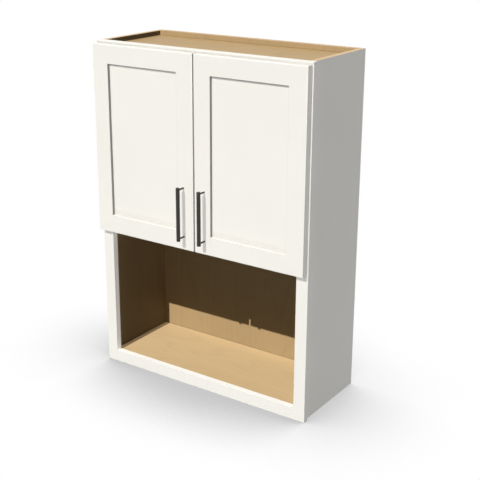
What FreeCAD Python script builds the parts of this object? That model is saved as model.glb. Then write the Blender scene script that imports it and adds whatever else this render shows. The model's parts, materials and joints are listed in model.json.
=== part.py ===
import FreeCAD
import Part
import Sketcher
import os
import re

# Wall cabinet with an open niche under two shaker doors, in millimetres.
# The origin is the middle of the back plane's lower edge: +X right, +Z up, and the front looks along -Y.

doc = FreeCAD.newDocument("wall_cabinet")
sheet = doc.addObject("Spreadsheet::Sheet", "sizes")

SIZES = (
    ("cabinet_width", 762.0, "over the face frame"),
    ("cabinet_height", 1066.8, "base to top edge"),
    ("cabinet_depth", 304.8, "wall to the front of the face frame"),
    ("side_inset", 6.35, "face frame past the side panel's outer face"),
    ("side_thickness", 15.9, "side panel"),
    ("deck_thickness", 15.9, "top panel, fixed shelf and bottom panel"),
    ("dado_depth", 6.0, "slots in the side panels that take the decks and the back"),
    ("joint_gap", 0.5, "air left at the bottom of a slot, groove or dowel hole"),
    ("top_recess", 15.0, "top panel below the top edge"),
    ("floor_height", 34.5, "niche floor above the base"),
    ("back_thickness", 4.8, "back panel"),
    ("hanging_rail_thickness", 18.0, "rail between the back panel and the wall"),
    ("hanging_rail_height", 76.2, "each hanging rail"),
    ("wall_screw_radius", 2.5, "holes for the screws into the wall"),
    ("wall_screw_spacing", 406.4, "studs in the wall"),
    ("wall_screw_drop", 53.0, "wall screws below the top edge"),
    ("frame_thickness", 19.05, "face frame"),
    ("frame_stile_width", 38.1, "face frame stile"),
    ("top_rail_height", 38.1, "face frame top rail"),
    ("middle_rail_height", 38.1, "face frame middle rail"),
    ("bottom_rail_height", 38.1, "face frame bottom rail"),
    ("niche_top", 461.8, "underside of the middle rail above the base"),
    ("frame_round", 1.2, "eased edges of the face frame"),
    ("dowel_radius", 4.0, "dowels in the face frame"),
    ("dowel_length", 40.0, "dowels in the face frame"),
    ("dowel_spacing", 18.0, "two dowels of one joint"),
    ("hole_clearance", 0.05, "radial, round every dowel, pin and screw"),
    ("shelf_thickness", 15.9, "adjustable shelf"),
    ("shelf_side_gap", 1.5, "adjustable shelf to each side panel"),
    ("shelf_back_gap", 2.0, "adjustable shelf to the back panel"),
    ("shelf_front_gap", 12.0, "adjustable shelf to the face frame"),
    ("shelf_round", 1.5, "eased front edge of the adjustable shelf"),
    ("pin_radius", 2.5, "shelf pin"),
    ("pin_depth", 9.0, "shelf pin inside the side panel"),
    ("pin_hole_depth", 10.0, "shelf pin holes"),
    ("pin_row_start", 136.0, "lowest pin hole above the fixed shelf"),
    ("pin_row_step", 32.0, "pin hole to pin hole"),
    ("pin_front_setback", 37.0, "front pin holes behind the face frame"),
    ("pin_back_setback", 37.0, "rear pin holes in front of the back panel"),
    ("pin_tab_length", 11.0, "tab under the shelf"),
    ("pin_tab_width", 10.0, "tab under the shelf"),
    ("pin_tab_thickness", 1.5, "tab under the shelf"),
    ("door_thickness", 20.6, "stiles and rails of a door"),
    ("bumper_gap", 3.2, "closed door to the face frame"),
    ("side_reveal", 3.6, "face frame showing beside a door"),
    ("top_reveal", 8.0, "face frame showing above a door"),
    ("bottom_reveal", 3.8, "door's lower edge above the underside of the middle rail"),
    ("centre_gap", 5.4, "door to door"),
    ("door_stile_width", 57.15, "door stile"),
    ("door_rail_height", 57.15, "door rail"),
    ("door_round", 1.5, "eased outer edges of a door"),
    ("panel_thickness", 6.35, "centre panel"),
    ("panel_recess", 9.5, "centre panel behind the door's face"),
    ("groove_depth", 9.5, "groove that holds the centre panel"),
    ("panel_gap", 1.5, "centre panel's edge to the bottom of its groove"),
    ("hinge_setback", 76.2, "hinge from the door's top or lower edge"),
    ("cup_radius", 17.5, "hinge cup"),
    ("cup_edge_distance", 3.0, "hinge cup to the door's edge"),
    ("cup_depth", 12.8, "hinge cup in the door"),
    ("cup_hole_depth", 13.0, "hole for the hinge cup"),
    ("cup_wall", 0.8, "sheet of the hinge cup"),
    ("flange_radius", 18.5, "round flange of the hinge cup"),
    ("flange_thickness", 1.0, "flange of the hinge cup"),
    ("ear_near", 24.0, "flange ears from the door's edge"),
    ("ear_width", 13.0, "flange ears"),
    ("ear_height", 58.0, "over both flange ears"),
    ("cup_screw_spacing", 45.0, "screws through the flange ears"),
    ("cup_screw_offset", 9.5, "screws past the middle of the cup"),
    ("cup_screw_radius", 1.75, "shank"),
    ("cup_screw_length", 12.0, "shank in the door"),
    ("screw_head_radius", 3.5, "hinge screw heads"),
    ("screw_head_height", 1.2, "hinge screw heads"),
    ("pivot_inset", 7.6, "hinge axis from the door's outer edge"),
    ("pivot_depth", 9.0, "hinge axis in front of the door's back"),
    ("hinge_pin_radius", 1.5, "hinge pin"),
    ("knuckle_radius", 2.6, "rolled end of the hinge arm"),
    ("arm_half_width", 4.5, "hinge arm inside the cup"),
    ("arm_thickness", 1.6, "sheet of the hinge arm"),
    ("arm_offset", 0.6, "arm in front of the hinge axis"),
    ("wing_half_width", 9.0, "hinge arm on the face frame"),
    ("wing_start", 1.8, "wide part of the arm behind the door's back"),
    ("wing_reach", 20.8, "arm's end behind the door's back"),
    ("lug_near", 5.0, "pin lugs in the cup from its middle"),
    ("hinge_pin_reach", 9.6, "ends of the hinge pin from its middle"),
    ("spring_thickness", 0.4, "closing spring, a leaf on the floor of the cup"),
    ("spring_half_width", 4.0, "closing spring"),
    ("spring_start", 2.9, "closing spring past the hinge axis"),
    ("spring_length", 22.0, "closing spring"),
    ("lug_half_width", 2.6, "pin lugs each side of the axis"),
    ("arm_screw_radius", 1.75, "screw into the face frame"),
    ("arm_screw_length", 16.0, "screw into the face frame"),
    ("arm_screw_head", 2.0, "head height of that screw"),
    ("bumper_radius", 4.75, "door bumper"),
    ("bumper_tip_radius", 4.0, "door bumper where it meets the frame"),
    ("bumper_clearance", 0.2, "bumper to the face frame"),
    ("bumper_setback", 12.0, "bumper from the door's edges"),
    ("handle_length", 166.0, "handle bar"),
    ("handle_radius", 6.0, "handle bar"),
    ("handle_chamfer", 0.7, "ends of the handle bar"),
    ("handle_projection", 28.0, "bar's middle in front of the door"),
    ("handle_height", 117.4, "handle's middle above the door's lower edge"),
    ("handle_inset", 35.3, "handle from the door's meeting edge"),
    ("post_spacing", 152.4, "handle posts"),
    ("post_radius", 2.75, "handle post"),
    ("post_socket", 2.0, "post inside the bar"),
    ("handle_screw_radius", 1.6, "screw through the door into the post"),
    ("handle_screw_reach", 9.0, "screw inside the post"),
    ("handle_head_radius", 4.0, "head of that screw"),
    ("handle_head_height", 2.2, "head of that screw"),
    ("overrun", 1.0, "cutting tools past a face"),
)

# Pin holes in a column, whose middle row holds the shelf, and the sides of the cabinet.
PIN_ROWS = 9
SIDES = (("left", -1), ("right", 1))

for row, (size_name, value, note) in enumerate(SIZES, start=1):
    sheet.set(f"A{row}", size_name)
    sheet.set(f"B{row}", str(value))
    sheet.set(f"C{row}", note)
    sheet.setAlias(f"B{row}", size_name)
doc.recompute()
size_names = {size_name for size_name, value, note in SIZES}

# Distances from the middle plane, worked out from the sheet.
HALF = "(cabinet_width / 2)"
SIDE_IN = "(cabinet_width / 2 - side_inset - side_thickness)"
SLOT_END = f"({SIDE_IN} + dado_depth - joint_gap)"
STILE_IN = "(cabinet_width / 2 - frame_stile_width)"
DOOR_IN = "(centre_gap / 2)"
DOOR_OUT = "(cabinet_width / 2 - side_reveal)"
PANEL_IN = f"({DOOR_IN} + door_stile_width)"
PANEL_OUT = f"({DOOR_OUT} - door_stile_width)"

# Distances in front of the wall.
BACK_FRONT = "(hanging_rail_thickness + back_thickness)"
BOX_FRONT = "(cabinet_depth - frame_thickness)"
DOOR_BACK = "(cabinet_depth + bumper_gap)"
DOOR_FRONT = f"({DOOR_BACK} + door_thickness)"

# Heights above the base.
SHELF_TOP = "(niche_top + middle_rail_height)"
DOOR_LOW = "(niche_top + bottom_reveal)"
DOOR_HIGH = "(cabinet_height - top_reveal)"
DECKS = (
    ("bottom_panel", "(floor_height - deck_thickness)"),
    ("fixed_shelf", f"({SHELF_TOP} - deck_thickness)"),
    ("top_panel", "(cabinet_height - top_recess - deck_thickness)"),
)
RAILS = (
    ("bottom_frame_rail", "0", "bottom_rail_height"),
    ("middle_frame_rail", "niche_top", "middle_rail_height"),
    ("top_frame_rail", "(cabinet_height - top_rail_height)", "top_rail_height"),
)
HINGES = (
    ("lower", f"({DOOR_LOW} + hinge_setback)"),
    ("upper", f"({DOOR_HIGH} - hinge_setback)"),
)

nodes = []

TURNS = {
    "x": FreeCAD.Rotation(FreeCAD.Vector(0, 1, 0), 90),
    "y": FreeCAD.Rotation(FreeCAD.Vector(1, 0, 0), -90),
    "z": FreeCAD.Rotation(),
}


def bind(thing, prop, formula):
    """Tie a property to a formula that is written with the names in the sheet."""
    def cell(found):
        word = found.group(0)
        return f"sizes.{word}" if word in size_names else word
    thing.setExpression(prop, re.sub("[a-z_]+", cell, formula))


def place(thing, corner):
    """Tie a piece's place to three formulas."""
    for axis, formula in zip("xyz", corner):
        bind(thing, f"Placement.Base.{axis}", formula)


def keep(thing, label):
    """List a finished piece under the name of its node."""
    thing.Label = label
    nodes.append(thing)
    return thing


def span(side, near, far):
    """Low end and length of a stretch between two distances from the middle plane."""
    low = near if side > 0 else f"-({far})"
    return low, f"({far}) - ({near})"


def at(side, distance):
    """A distance from the middle plane as a coordinate."""
    return distance if side > 0 else f"-({distance})"


def rectangle(body, name, width, height):
    """A rectangle from the body's origin, its two sides tied to formulas."""
    sketch = body.newObject("Sketcher::SketchObject", name)
    plane = next(f for f in body.Origin.OriginFeatures if f.Role == "XY_Plane")
    sketch.AttachmentSupport = [(plane, "")]
    sketch.MapMode = "FlatFace"
    corners = [FreeCAD.Vector(x, y, 0) for x, y in ((0, 0), (1, 0), (1, 1), (0, 1))]
    for i in range(4):
        sketch.addGeometry(Part.LineSegment(corners[i], corners[(i + 1) % 4]), False)
    for i in range(4):
        sketch.addConstraint(Sketcher.Constraint("Coincident", i, 2, (i + 1) % 4, 1))
    for i, kind in enumerate(("Horizontal", "Vertical", "Horizontal", "Vertical")):
        sketch.addConstraint(Sketcher.Constraint(kind, i))
    sketch.addConstraint(Sketcher.Constraint("Coincident", 0, 1, -1, 1))
    for kind, edge, formula in (("DistanceX", 0, width), ("DistanceY", 1, height)):
        count = sketch.addConstraint(Sketcher.Constraint(kind, edge, 1, edge, 2, 1.0))
        bind(sketch, f"Constraints[{count}]", formula)
    return sketch


def board(label, corner, size):
    """A board: a padded rectangle with its lowest corner at the body's origin."""
    body = doc.addObject("PartDesign::Body", label)
    place(body, corner)
    pad = body.newObject("PartDesign::Pad", f"{label}_pad")
    pad.Profile = rectangle(body, f"{label}_outline", size[0], size[1])
    bind(pad, "Length", size[2])
    body.Tip = pad
    return keep(body, label)


def shape_feature(body, kind, name, corner, sizes, turn="z"):
    """Add or cut a box or a cylinder, placed from the body's origin."""
    feature = body.newObject(f"PartDesign::{kind}", name)
    feature.Placement = FreeCAD.Placement(FreeCAD.Vector(), TURNS[turn])
    for prop, formula in sizes.items():
        bind(feature, prop, formula)
    place(feature, corner)
    return feature


def cut_box(body, name, corner, size):
    """Cut a box out of a board."""
    sizes = dict(zip(("Length", "Width", "Height"), size))
    return shape_feature(body, "SubtractiveBox", name, corner, sizes)


def drill(body, name, corner, turn, radius, depth):
    """Drill a board along one axis, from the given middle of the hole's mouth or end."""
    sizes = {"Radius": radius, "Height": depth}
    return shape_feature(body, "SubtractiveCylinder", name, corner, sizes, turn)


FACES = {
    "left": ("X", "XMin"),
    "right": ("X", "XMax"),
    "front": ("Y", "YMin"),
    "back": ("Y", "YMax"),
    "bottom": ("Z", "ZMin"),
    "top": ("Z", "ZMax"),
}


def edges_on(shape, *faces):
    """Names of the edges that lie on all of the named faces of a shape's box."""
    tiny = shape.BoundBox.DiagonalLength * 1e-6
    found = []
    for number, edge in enumerate(shape.Edges, start=1):
        ends = []
        for face in faces:
            axis, side = FACES[face]
            level = getattr(shape.BoundBox, side)
            ends.append(abs(getattr(edge.BoundBox, f"{axis}Min") - level) < tiny)
            ends.append(abs(getattr(edge.BoundBox, f"{axis}Max") - level) < tiny)
        if all(ends):
            found.append(f"Edge{number}")
    return found


def ease(body, name, radius, *pairs):
    """Round the edges where pairs of a board's faces meet."""
    doc.recompute()
    blank = body.Tip
    shape = blank.Shape
    fillet = body.newObject("PartDesign::Fillet", name)
    names = []
    for pair in pairs:
        names += edges_on(shape, *pair.split())
    fillet.Base = (blank, names)
    bind(fillet, "Radius", radius)
    body.Tip = fillet
    return fillet


def box(name, corner, size):
    """A plain box for the small parts, tied to formulas."""
    thing = doc.addObject("Part::Box", name)
    for prop, formula in zip(("Length", "Width", "Height"), size):
        bind(thing, prop, formula)
    place(thing, corner)
    return thing


def rod(name, corner, turn, radius, length):
    """A cylinder along one axis, from the middle of its first end."""
    thing = doc.addObject("Part::Cylinder", name)
    thing.Placement = FreeCAD.Placement(FreeCAD.Vector(), TURNS[turn])
    bind(thing, "Radius", radius)
    bind(thing, "Height", length)
    place(thing, corner)
    return thing


def fuse(name, *pieces):
    """Pieces joined into one solid."""
    joined = doc.addObject("Part::MultiFuse", name)
    joined.Shapes = list(pieces)
    joined.Refine = True
    return joined


def cut(name, base, *tools):
    """A piece less its cutting tools."""
    rest = doc.addObject("Part::Cut", name)
    rest.Base = base
    rest.Tool = fuse(f"{name}_tools", *tools) if len(tools) > 1 else tools[0]
    return rest


def group(label, *pieces):
    """Separate like pieces that share one node."""
    compound = doc.addObject("Part::Compound", label)
    compound.Links = list(pieces)
    return keep(compound, label)


# Shelf pin columns, by their distance in front of the wall.
PIN_COLUMNS = (
    ("front", f"({BOX_FRONT} - pin_front_setback)"),
    ("rear", f"({BACK_FRONT} + pin_back_setback)"),
)


def pin_height(row):
    """Height of a row of shelf pin holes."""
    return f"({SHELF_TOP} + pin_row_start + {row} * pin_row_step)"


# Case: side panels, decks, back and hanging rails.
def side_panel(name, side):
    label = f"{name}_side_panel"
    low, thickness = span(side, SIDE_IN, f"({SIDE_IN} + side_thickness)")
    panel = board(label, (low, f"-{BOX_FRONT}", "0"), ("side_thickness", BOX_FRONT, "cabinet_height"))
    inner = "-overrun" if side > 0 else "side_thickness - dado_depth"
    deep = "dado_depth + overrun"
    for deck, height in DECKS:
        size = (deep, f"{BOX_FRONT} - {BACK_FRONT} + overrun", "deck_thickness")
        cut_box(panel, f"{label}_{deck}_slot", (inner, "-overrun", height), size)
    cut_box(
        panel,
        f"{label}_back_groove",
        (inner, f"{BOX_FRONT} - {BACK_FRONT}", "-overrun"),
        (deep, "back_thickness", "cabinet_height + 2 * overrun"),
    )
    mouth = "-overrun" if side > 0 else "side_thickness - pin_hole_depth"
    for column, (label_end, along) in enumerate(PIN_COLUMNS):
        for row in range(PIN_ROWS):
            corner = (mouth, f"{BOX_FRONT} - {along}", pin_height(row))
            hole = f"{label}_{label_end}_pin_hole_{row}"
            drill(panel, hole, corner, "x", "pin_radius + hole_clearance", "pin_hole_depth + overrun")
    return panel


for side_name, side_sign in SIDES:
    side_panel(side_name, side_sign)

for deck_name, deck_low in DECKS:
    board(
        deck_name,
        (f"-{SLOT_END}", f"-{BOX_FRONT}", deck_low),
        (f"2 * {SLOT_END}", f"{BOX_FRONT} - {BACK_FRONT}", "deck_thickness"),
    )

back_panel = board(
    "back_panel",
    (f"-{SLOT_END}", f"-{BACK_FRONT}", "0"),
    (f"2 * {SLOT_END}", "back_thickness", "cabinet_height"),
)
upper_hanging_rail = board(
    "upper_hanging_rail",
    (f"-{SIDE_IN}", "-hanging_rail_thickness", "cabinet_height - hanging_rail_height"),
    (f"2 * {SIDE_IN}", "hanging_rail_thickness", "hanging_rail_height"),
)
lower_hanging_rail = board(
    "lower_hanging_rail",
    (f"-{SIDE_IN}", "-hanging_rail_thickness", "0"),
    (f"2 * {SIDE_IN}", "hanging_rail_thickness", "hanging_rail_height"),
)
for side_name, side_sign in SIDES:
    along = f"wall_screw_spacing / 2 * {side_sign}"
    drill(
        back_panel,
        f"{side_name}_wall_hole_in_back",
        (f"{SLOT_END} + {along}", "-overrun", "cabinet_height - wall_screw_drop"),
        "y",
        "wall_screw_radius",
        "back_thickness + 2 * overrun",
    )
    drill(
        upper_hanging_rail,
        f"{side_name}_wall_hole_in_rail",
        (f"{SIDE_IN} + {along}", "-overrun", "hanging_rail_height - wall_screw_drop"),
        "y",
        "wall_screw_radius",
        "hanging_rail_thickness + 2 * overrun",
    )

# Adjustable shelf on its four pins.
PIN_LEVEL = pin_height(PIN_ROWS // 2)
SHELF_UNDERSIDE = f"({PIN_LEVEL} + pin_radius)"
shelf = board(
    "adjustable_shelf",
    (f"-({SIDE_IN} - shelf_side_gap)", f"-({BOX_FRONT} - shelf_front_gap)", SHELF_UNDERSIDE),
    (
        f"2 * ({SIDE_IN} - shelf_side_gap)",
        f"{BOX_FRONT} - shelf_front_gap - {BACK_FRONT} - shelf_back_gap",
        "shelf_thickness",
    ),
)
ease(shelf, "adjustable_shelf_round", "shelf_round", "front top", "front bottom")

pins = []
for side_name, side_sign in SIDES:
    for column_name, along in PIN_COLUMNS:
        pin_name = f"{side_name}_{column_name}_shelf_pin"
        low, length = span(side_sign, f"({SIDE_IN} - pin_tab_length)", f"({SIDE_IN} + pin_depth)")
        stem = rod(f"{pin_name}_stem", (low, f"-{along}", PIN_LEVEL), "x", "pin_radius", length)
        low, length = span(side_sign, f"({SIDE_IN} - pin_tab_length)", SIDE_IN)
        tab_corner = (low, f"-{along} - pin_tab_width / 2", f"{SHELF_UNDERSIDE} - pin_tab_thickness")
        tab = box(f"{pin_name}_tab", tab_corner, (length, "pin_tab_width", "pin_tab_thickness"))
        pins.append(fuse(pin_name, stem, tab))
group("shelf_pins", *pins)


# Face frame: two stiles, three rails and the dowels that join them.
def frame_stile(name, side):
    label = f"{name}_frame_stile"
    low, width = span(side, STILE_IN, HALF)
    size = ("frame_stile_width", "frame_thickness", "cabinet_height")
    stile = board(label, (low, "-cabinet_depth", "0"), size)
    ease(stile, f"{label}_round", "frame_round", f"front {name}", "front top", "front bottom")
    mouth = "-overrun" if side > 0 else "frame_stile_width - dowel_length / 2 - joint_gap"
    for rail, height, tall in RAILS:
        for end in (-1, 1):
            corner = (mouth, "frame_thickness / 2", f"{height} + {tall} / 2 + {end} * dowel_spacing / 2")
            depth = "dowel_length / 2 + joint_gap + overrun"
            hole = f"{label}_{rail}_hole_{end + 1}"
            drill(stile, hole, corner, "x", "dowel_radius + hole_clearance", depth)
    mouth = "-overrun" if side > 0 else "frame_stile_width - arm_screw_length - joint_gap"
    for hinge, height in HINGES:
        depth = "arm_screw_length + joint_gap + overrun"
        corner = (mouth, "frame_thickness / 2", height)
        drill(stile, f"{label}_{hinge}_screw_hole", corner, "x", "arm_screw_radius + hole_clearance", depth)
    return stile


for side_name, side_sign in SIDES:
    frame_stile(side_name, side_sign)

# Outer edges of the face frame's rails.
RAIL_EDGES = {"bottom_frame_rail": "front bottom", "top_frame_rail": "front top"}

dowels = []
for rail_name, rail_low, rail_height in RAILS:
    corner = (f"-{STILE_IN}", "-cabinet_depth", rail_low)
    rail = board(rail_name, corner, (f"2 * {STILE_IN}", "frame_thickness", rail_height))
    if rail_name in RAIL_EDGES:
        ease(rail, f"{rail_name}_round", "frame_round", RAIL_EDGES[rail_name])
    for side_name, side_sign in SIDES:
        for end in (-1, 1):
            level = f"{rail_height} / 2 + {end} * dowel_spacing / 2"
            start = f"2 * {STILE_IN} - dowel_length / 2 - joint_gap" if side_sign > 0 else "-overrun"
            depth = "dowel_length / 2 + joint_gap + overrun"
            mouth = (start, "frame_thickness / 2", level)
            hole = f"{rail_name}_{side_name}_hole_{end + 1}"
            drill(rail, hole, mouth, "x", "dowel_radius + hole_clearance", depth)
            low, length = span(side_sign, f"{STILE_IN} - dowel_length / 2", f"{STILE_IN} + dowel_length / 2")
            middle = (low, f"-({BOX_FRONT} + frame_thickness / 2)", f"{rail_low} + {level}")
            dowel_name = f"{rail_name}_{side_name}_dowel_{end + 1}"
            dowels.append(rod(dowel_name, middle, "x", "dowel_radius", length))
group("frame_dowels", *dowels)


# Doors: each has two stiles, two rails and a centre panel held in grooves.
CUP_MIDDLE = "(cup_edge_distance + cup_radius)"
CUP_SCREW_MIDDLE = f"({CUP_MIDDLE} + cup_screw_offset)"
HANDLE_MIDDLE = f"({DOOR_LOW} + handle_height)"


def door_board(label, side, near, far, low, high):
    """A board in the plane of a door, between two distances from the middle plane."""
    start, width = span(side, near, far)
    corner = (start, f"-{DOOR_FRONT}", low)
    return board(label, corner, (width, "door_thickness", f"{high} - {low}"))


def stile_groove(stile, side, panel_side):
    """The groove along the edge of a stile that holds the panel and the rails' tongues."""
    start = "door_stile_width - groove_depth" if panel_side * side > 0 else "-overrun"
    corner = (start, "panel_recess", "-overrun")
    size = ("groove_depth + overrun", "panel_thickness", f"{DOOR_HIGH} - {DOOR_LOW} + 2 * overrun")
    cut_box(stile, f"{stile.Label}_groove", corner, size)


def edge_place(side, distance):
    """Place across a hinge stile of a point at a distance from the door's outer edge."""
    return f"door_stile_width - {distance}" if side > 0 else distance


def hinge_stile(name, side):
    label = f"{name}_door_hinge_stile"
    stile = door_board(label, side, PANEL_OUT, DOOR_OUT, DOOR_LOW, DOOR_HIGH)
    outer = "right" if side > 0 else "left"
    ease(stile, f"{label}_round", "door_round", f"front {outer}", "front top", "front bottom")
    stile_groove(stile, side, -1)
    for hinge, height in HINGES:
        level = f"{height} - {DOOR_LOW}"
        across = edge_place(side, CUP_MIDDLE)
        start = (across, "door_thickness - cup_hole_depth", level)
        depth = "cup_hole_depth + overrun"
        drill(stile, f"{label}_{hinge}_cup_hole", start, "y", "cup_radius + hole_clearance", depth)
        across = edge_place(side, CUP_SCREW_MIDDLE)
        for end in (-1, 1):
            start = (
                across,
                "door_thickness - cup_screw_length - joint_gap",
                f"{level} + {end} * cup_screw_spacing / 2",
            )
            depth = "cup_screw_length + joint_gap + overrun"
            hole = f"{label}_{hinge}_screw_hole_{end + 1}"
            drill(stile, hole, start, "y", "cup_screw_radius + hole_clearance", depth)
    return stile


def meeting_stile(name, side):
    label = f"{name}_door_meeting_stile"
    stile = door_board(label, side, DOOR_IN, PANEL_IN, DOOR_LOW, DOOR_HIGH)
    inner = "left" if side > 0 else "right"
    ease(stile, f"{label}_round", "door_round", f"front {inner}", "front top", "front bottom")
    stile_groove(stile, side, 1)
    across = "handle_inset" if side > 0 else "door_stile_width - handle_inset"
    for end in (-1, 1):
        start = (across, "-overrun", f"handle_height + {end} * post_spacing / 2")
        depth = "door_thickness + 2 * overrun"
        hole = f"{label}_handle_hole_{end + 1}"
        drill(stile, hole, start, "y", "handle_screw_radius + hole_clearance", depth)
    return stile


def door_rail(name, side, which):
    label = f"{name}_door_{which}_rail"
    top = which == "top"
    low = f"({DOOR_HIGH} - door_rail_height)" if top else DOOR_LOW
    rail = door_board(label, side, PANEL_IN, PANEL_OUT, low, f"({low} + door_rail_height)")
    ease(rail, f"{label}_round", "door_round", "front top" if top else "front bottom")
    tongue = "(groove_depth - joint_gap)"
    length = f"{PANEL_OUT} - {PANEL_IN} + 2 * {tongue}"
    sizes = {"Length": length, "Width": "panel_thickness", "Height": "door_rail_height"}
    shape_feature(rail, "AdditiveBox", f"{label}_tongue", (f"-{tongue}", "panel_recess", "0"), sizes)
    groove_low = "-overrun" if top else "door_rail_height - groove_depth"
    corner = (f"-{tongue} - overrun", "panel_recess", groove_low)
    size = (f"{length} + 2 * overrun", "panel_thickness", "groove_depth + overrun")
    cut_box(rail, f"{label}_groove", corner, size)
    return rail


def centre_panel(name, side):
    grip = "(groove_depth - panel_gap)"
    start, width = span(side, f"({PANEL_IN} - {grip})", f"({PANEL_OUT} + {grip})")
    low = f"({DOOR_LOW} + door_rail_height - {grip})"
    high = f"({DOOR_HIGH} - door_rail_height + {grip})"
    corner = (start, f"-({DOOR_FRONT} - panel_recess)", low)
    return board(f"{name}_door_panel", corner, (width, "panel_thickness", f"{high} - {low}"))


# Hinges: a cup in the door, an arm on the face frame and a pin through both.
def door_y(depth):
    """Place along Y of a point at a depth in front of a closed door's back."""
    return f"-({DOOR_BACK} + {depth})"


def edge_span(side, near, far):
    """Low end and length between two distances from a door's outer edge."""
    return span(side, f"({DOOR_OUT} - ({far}))", f"({DOOR_OUT} - ({near}))")


def hinge_cup(name, side, hinge, height):
    label = f"{name}_{hinge}_hinge_cup"
    middle = at(side, f"({DOOR_OUT} - {CUP_MIDDLE})")
    start = (middle, door_y("cup_depth"), height)
    bowl = rod(f"{label}_bowl", start, "y", "cup_radius", "cup_depth")
    disc = rod(f"{label}_disc", (middle, door_y("0"), height), "y", "flange_radius", "flange_thickness")
    low, width = edge_span(side, "ear_near", "ear_near + ear_width")
    ear_corner = (low, door_y("0"), f"{height} - ear_height / 2")
    ears = box(f"{label}_ears", ear_corner, (width, "flange_thickness", "ear_height"))
    hollow_start = (middle, door_y("cup_depth - cup_wall"), height)
    hollow_depth = "cup_depth - cup_wall + flange_thickness + overrun"
    hollow = rod(f"{label}_hollow", hollow_start, "y", "cup_radius - cup_wall", hollow_depth)
    shell = cut(f"{label}_shell", fuse(f"{label}_outside", bowl, disc, ears), hollow)
    lugs = []
    for end in (-1, 1):
        low, width = edge_span(side, "pivot_inset - lug_half_width", "pivot_inset + lug_half_width")
        level = f"{height} + lug_near" if end > 0 else f"{height} - cup_radius"
        lug_corner = (low, door_y("cup_depth"), level)
        lug_size = (width, "cup_depth - pivot_depth + lug_half_width", "cup_radius - lug_near")
        lugs.append(box(f"{label}_lug_{end + 1}", lug_corner, lug_size))
    inside = doc.addObject("Part::Common", f"{label}_lugs")
    inside.Base = fuse(f"{label}_lug_blocks", *lugs)
    inside.Tool = rod(f"{label}_lug_limit", start, "y", "cup_radius", "cup_depth")
    tools = [pivot_rod(f"{label}_pin_bore", side, height, "hinge_pin_radius", "hinge_pin_reach")]
    for end in (-1, 1):
        level = f"{height} + {end} * cup_screw_spacing / 2"
        place_x = at(side, f"({DOOR_OUT} - {CUP_SCREW_MIDDLE})")
        corner = (place_x, door_y("overrun"), level)
        radius = "cup_screw_radius + hole_clearance"
        depth = "flange_thickness + 2 * overrun"
        tools.append(rod(f"{label}_screw_hole_{end + 1}", corner, "y", radius, depth))
    return keep(cut(label, fuse(f"{label}_body", shell, inside), *tools), label)


def pivot_rod(name, side, height, radius, reach):
    """A rod on the hinge axis, as long below as above the hinge's middle."""
    corner = (at(side, f"({DOOR_OUT} - pivot_inset)"), door_y("pivot_depth"), f"{height} - ({reach})")
    return rod(name, corner, "z", radius, f"2 * ({reach})")


def hinge_arm(name, side, hinge, height):
    label = f"{name}_{hinge}_hinge_arm"
    knuckle = pivot_rod(f"{label}_knuckle", side, height, "knuckle_radius", "arm_half_width")
    wing_edge = "(frame_stile_width - side_reveal)"
    low, width = edge_span(side, "pivot_inset", f"{wing_edge} + arm_thickness")
    corner = (low, door_y("pivot_depth + arm_offset + arm_thickness"), f"{height} - arm_half_width")
    bridge = box(f"{label}_bridge", corner, (width, "arm_thickness", "2 * arm_half_width"))
    low, width = edge_span(side, wing_edge, f"{wing_edge} + arm_thickness")
    reach = "pivot_depth + arm_offset + arm_thickness + wing_start"
    neck = box(f"{label}_neck", (low, corner[1], corner[2]), (width, reach, "2 * arm_half_width"))
    corner = (low, door_y("-wing_start"), f"{height} - wing_half_width")
    wing = box(f"{label}_wing", corner, (width, "wing_reach - wing_start", "2 * wing_half_width"))
    whole = fuse(f"{label}_whole", knuckle, bridge, neck, wing)
    bore_radius = "hinge_pin_radius + hole_clearance"
    bore = pivot_rod(f"{label}_bore", side, height, bore_radius, "arm_half_width + overrun")
    low, width = edge_span(side, f"{wing_edge} - overrun", f"{wing_edge} + arm_thickness + overrun")
    middle = (low, f"-({BOX_FRONT} + frame_thickness / 2)", height)
    hole = rod(f"{label}_screw_hole", middle, "x", "arm_screw_radius + hole_clearance", width)
    return keep(cut(label, whole, bore, hole), label)


def hinge_spring(name, side, hinge, height):
    """The closing spring of a hinge, a leaf between the cup's floor and the arm."""
    low, width = edge_span(side, "pivot_inset + spring_start", "pivot_inset + spring_start + spring_length")
    corner = (low, door_y("cup_depth - cup_wall"), f"{height} - spring_half_width")
    return box(f"{name}_{hinge}_hinge_spring", corner, (width, "spring_thickness", "2 * spring_half_width"))


def arm_screw(name, side, hinge, height):
    label = f"{name}_{hinge}_arm_screw"
    wing_face = "(frame_stile_width - side_reveal + arm_thickness)"
    across = f"-({BOX_FRONT} + frame_thickness / 2)"
    low, width = edge_span(side, f"{wing_face} - arm_thickness - arm_screw_length", wing_face)
    shank = rod(f"{label}_shank", (low, across, height), "x", "arm_screw_radius", width)
    low, width = edge_span(side, wing_face, f"{wing_face} + arm_screw_head")
    head = rod(f"{label}_head", (low, across, height), "x", "screw_head_radius", width)
    return fuse(label, shank, head)


def cup_screw(name, side, hinge, height, end):
    label = f"{name}_{hinge}_cup_screw_{end + 1}"
    across = at(side, f"({DOOR_OUT} - {CUP_SCREW_MIDDLE})")
    level = f"{height} + {end} * cup_screw_spacing / 2"
    start = (across, door_y("cup_screw_length"), level)
    shank = rod(f"{label}_shank", start, "y", "cup_screw_radius", "cup_screw_length + flange_thickness")
    start = (across, door_y("-flange_thickness"), level)
    head = rod(f"{label}_head", start, "y", "screw_head_radius", "screw_head_height")
    return fuse(label, shank, head)


# Handles and bumpers.
def handle_place(side):
    return at(side, f"({DOOR_IN} + handle_inset)")


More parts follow.
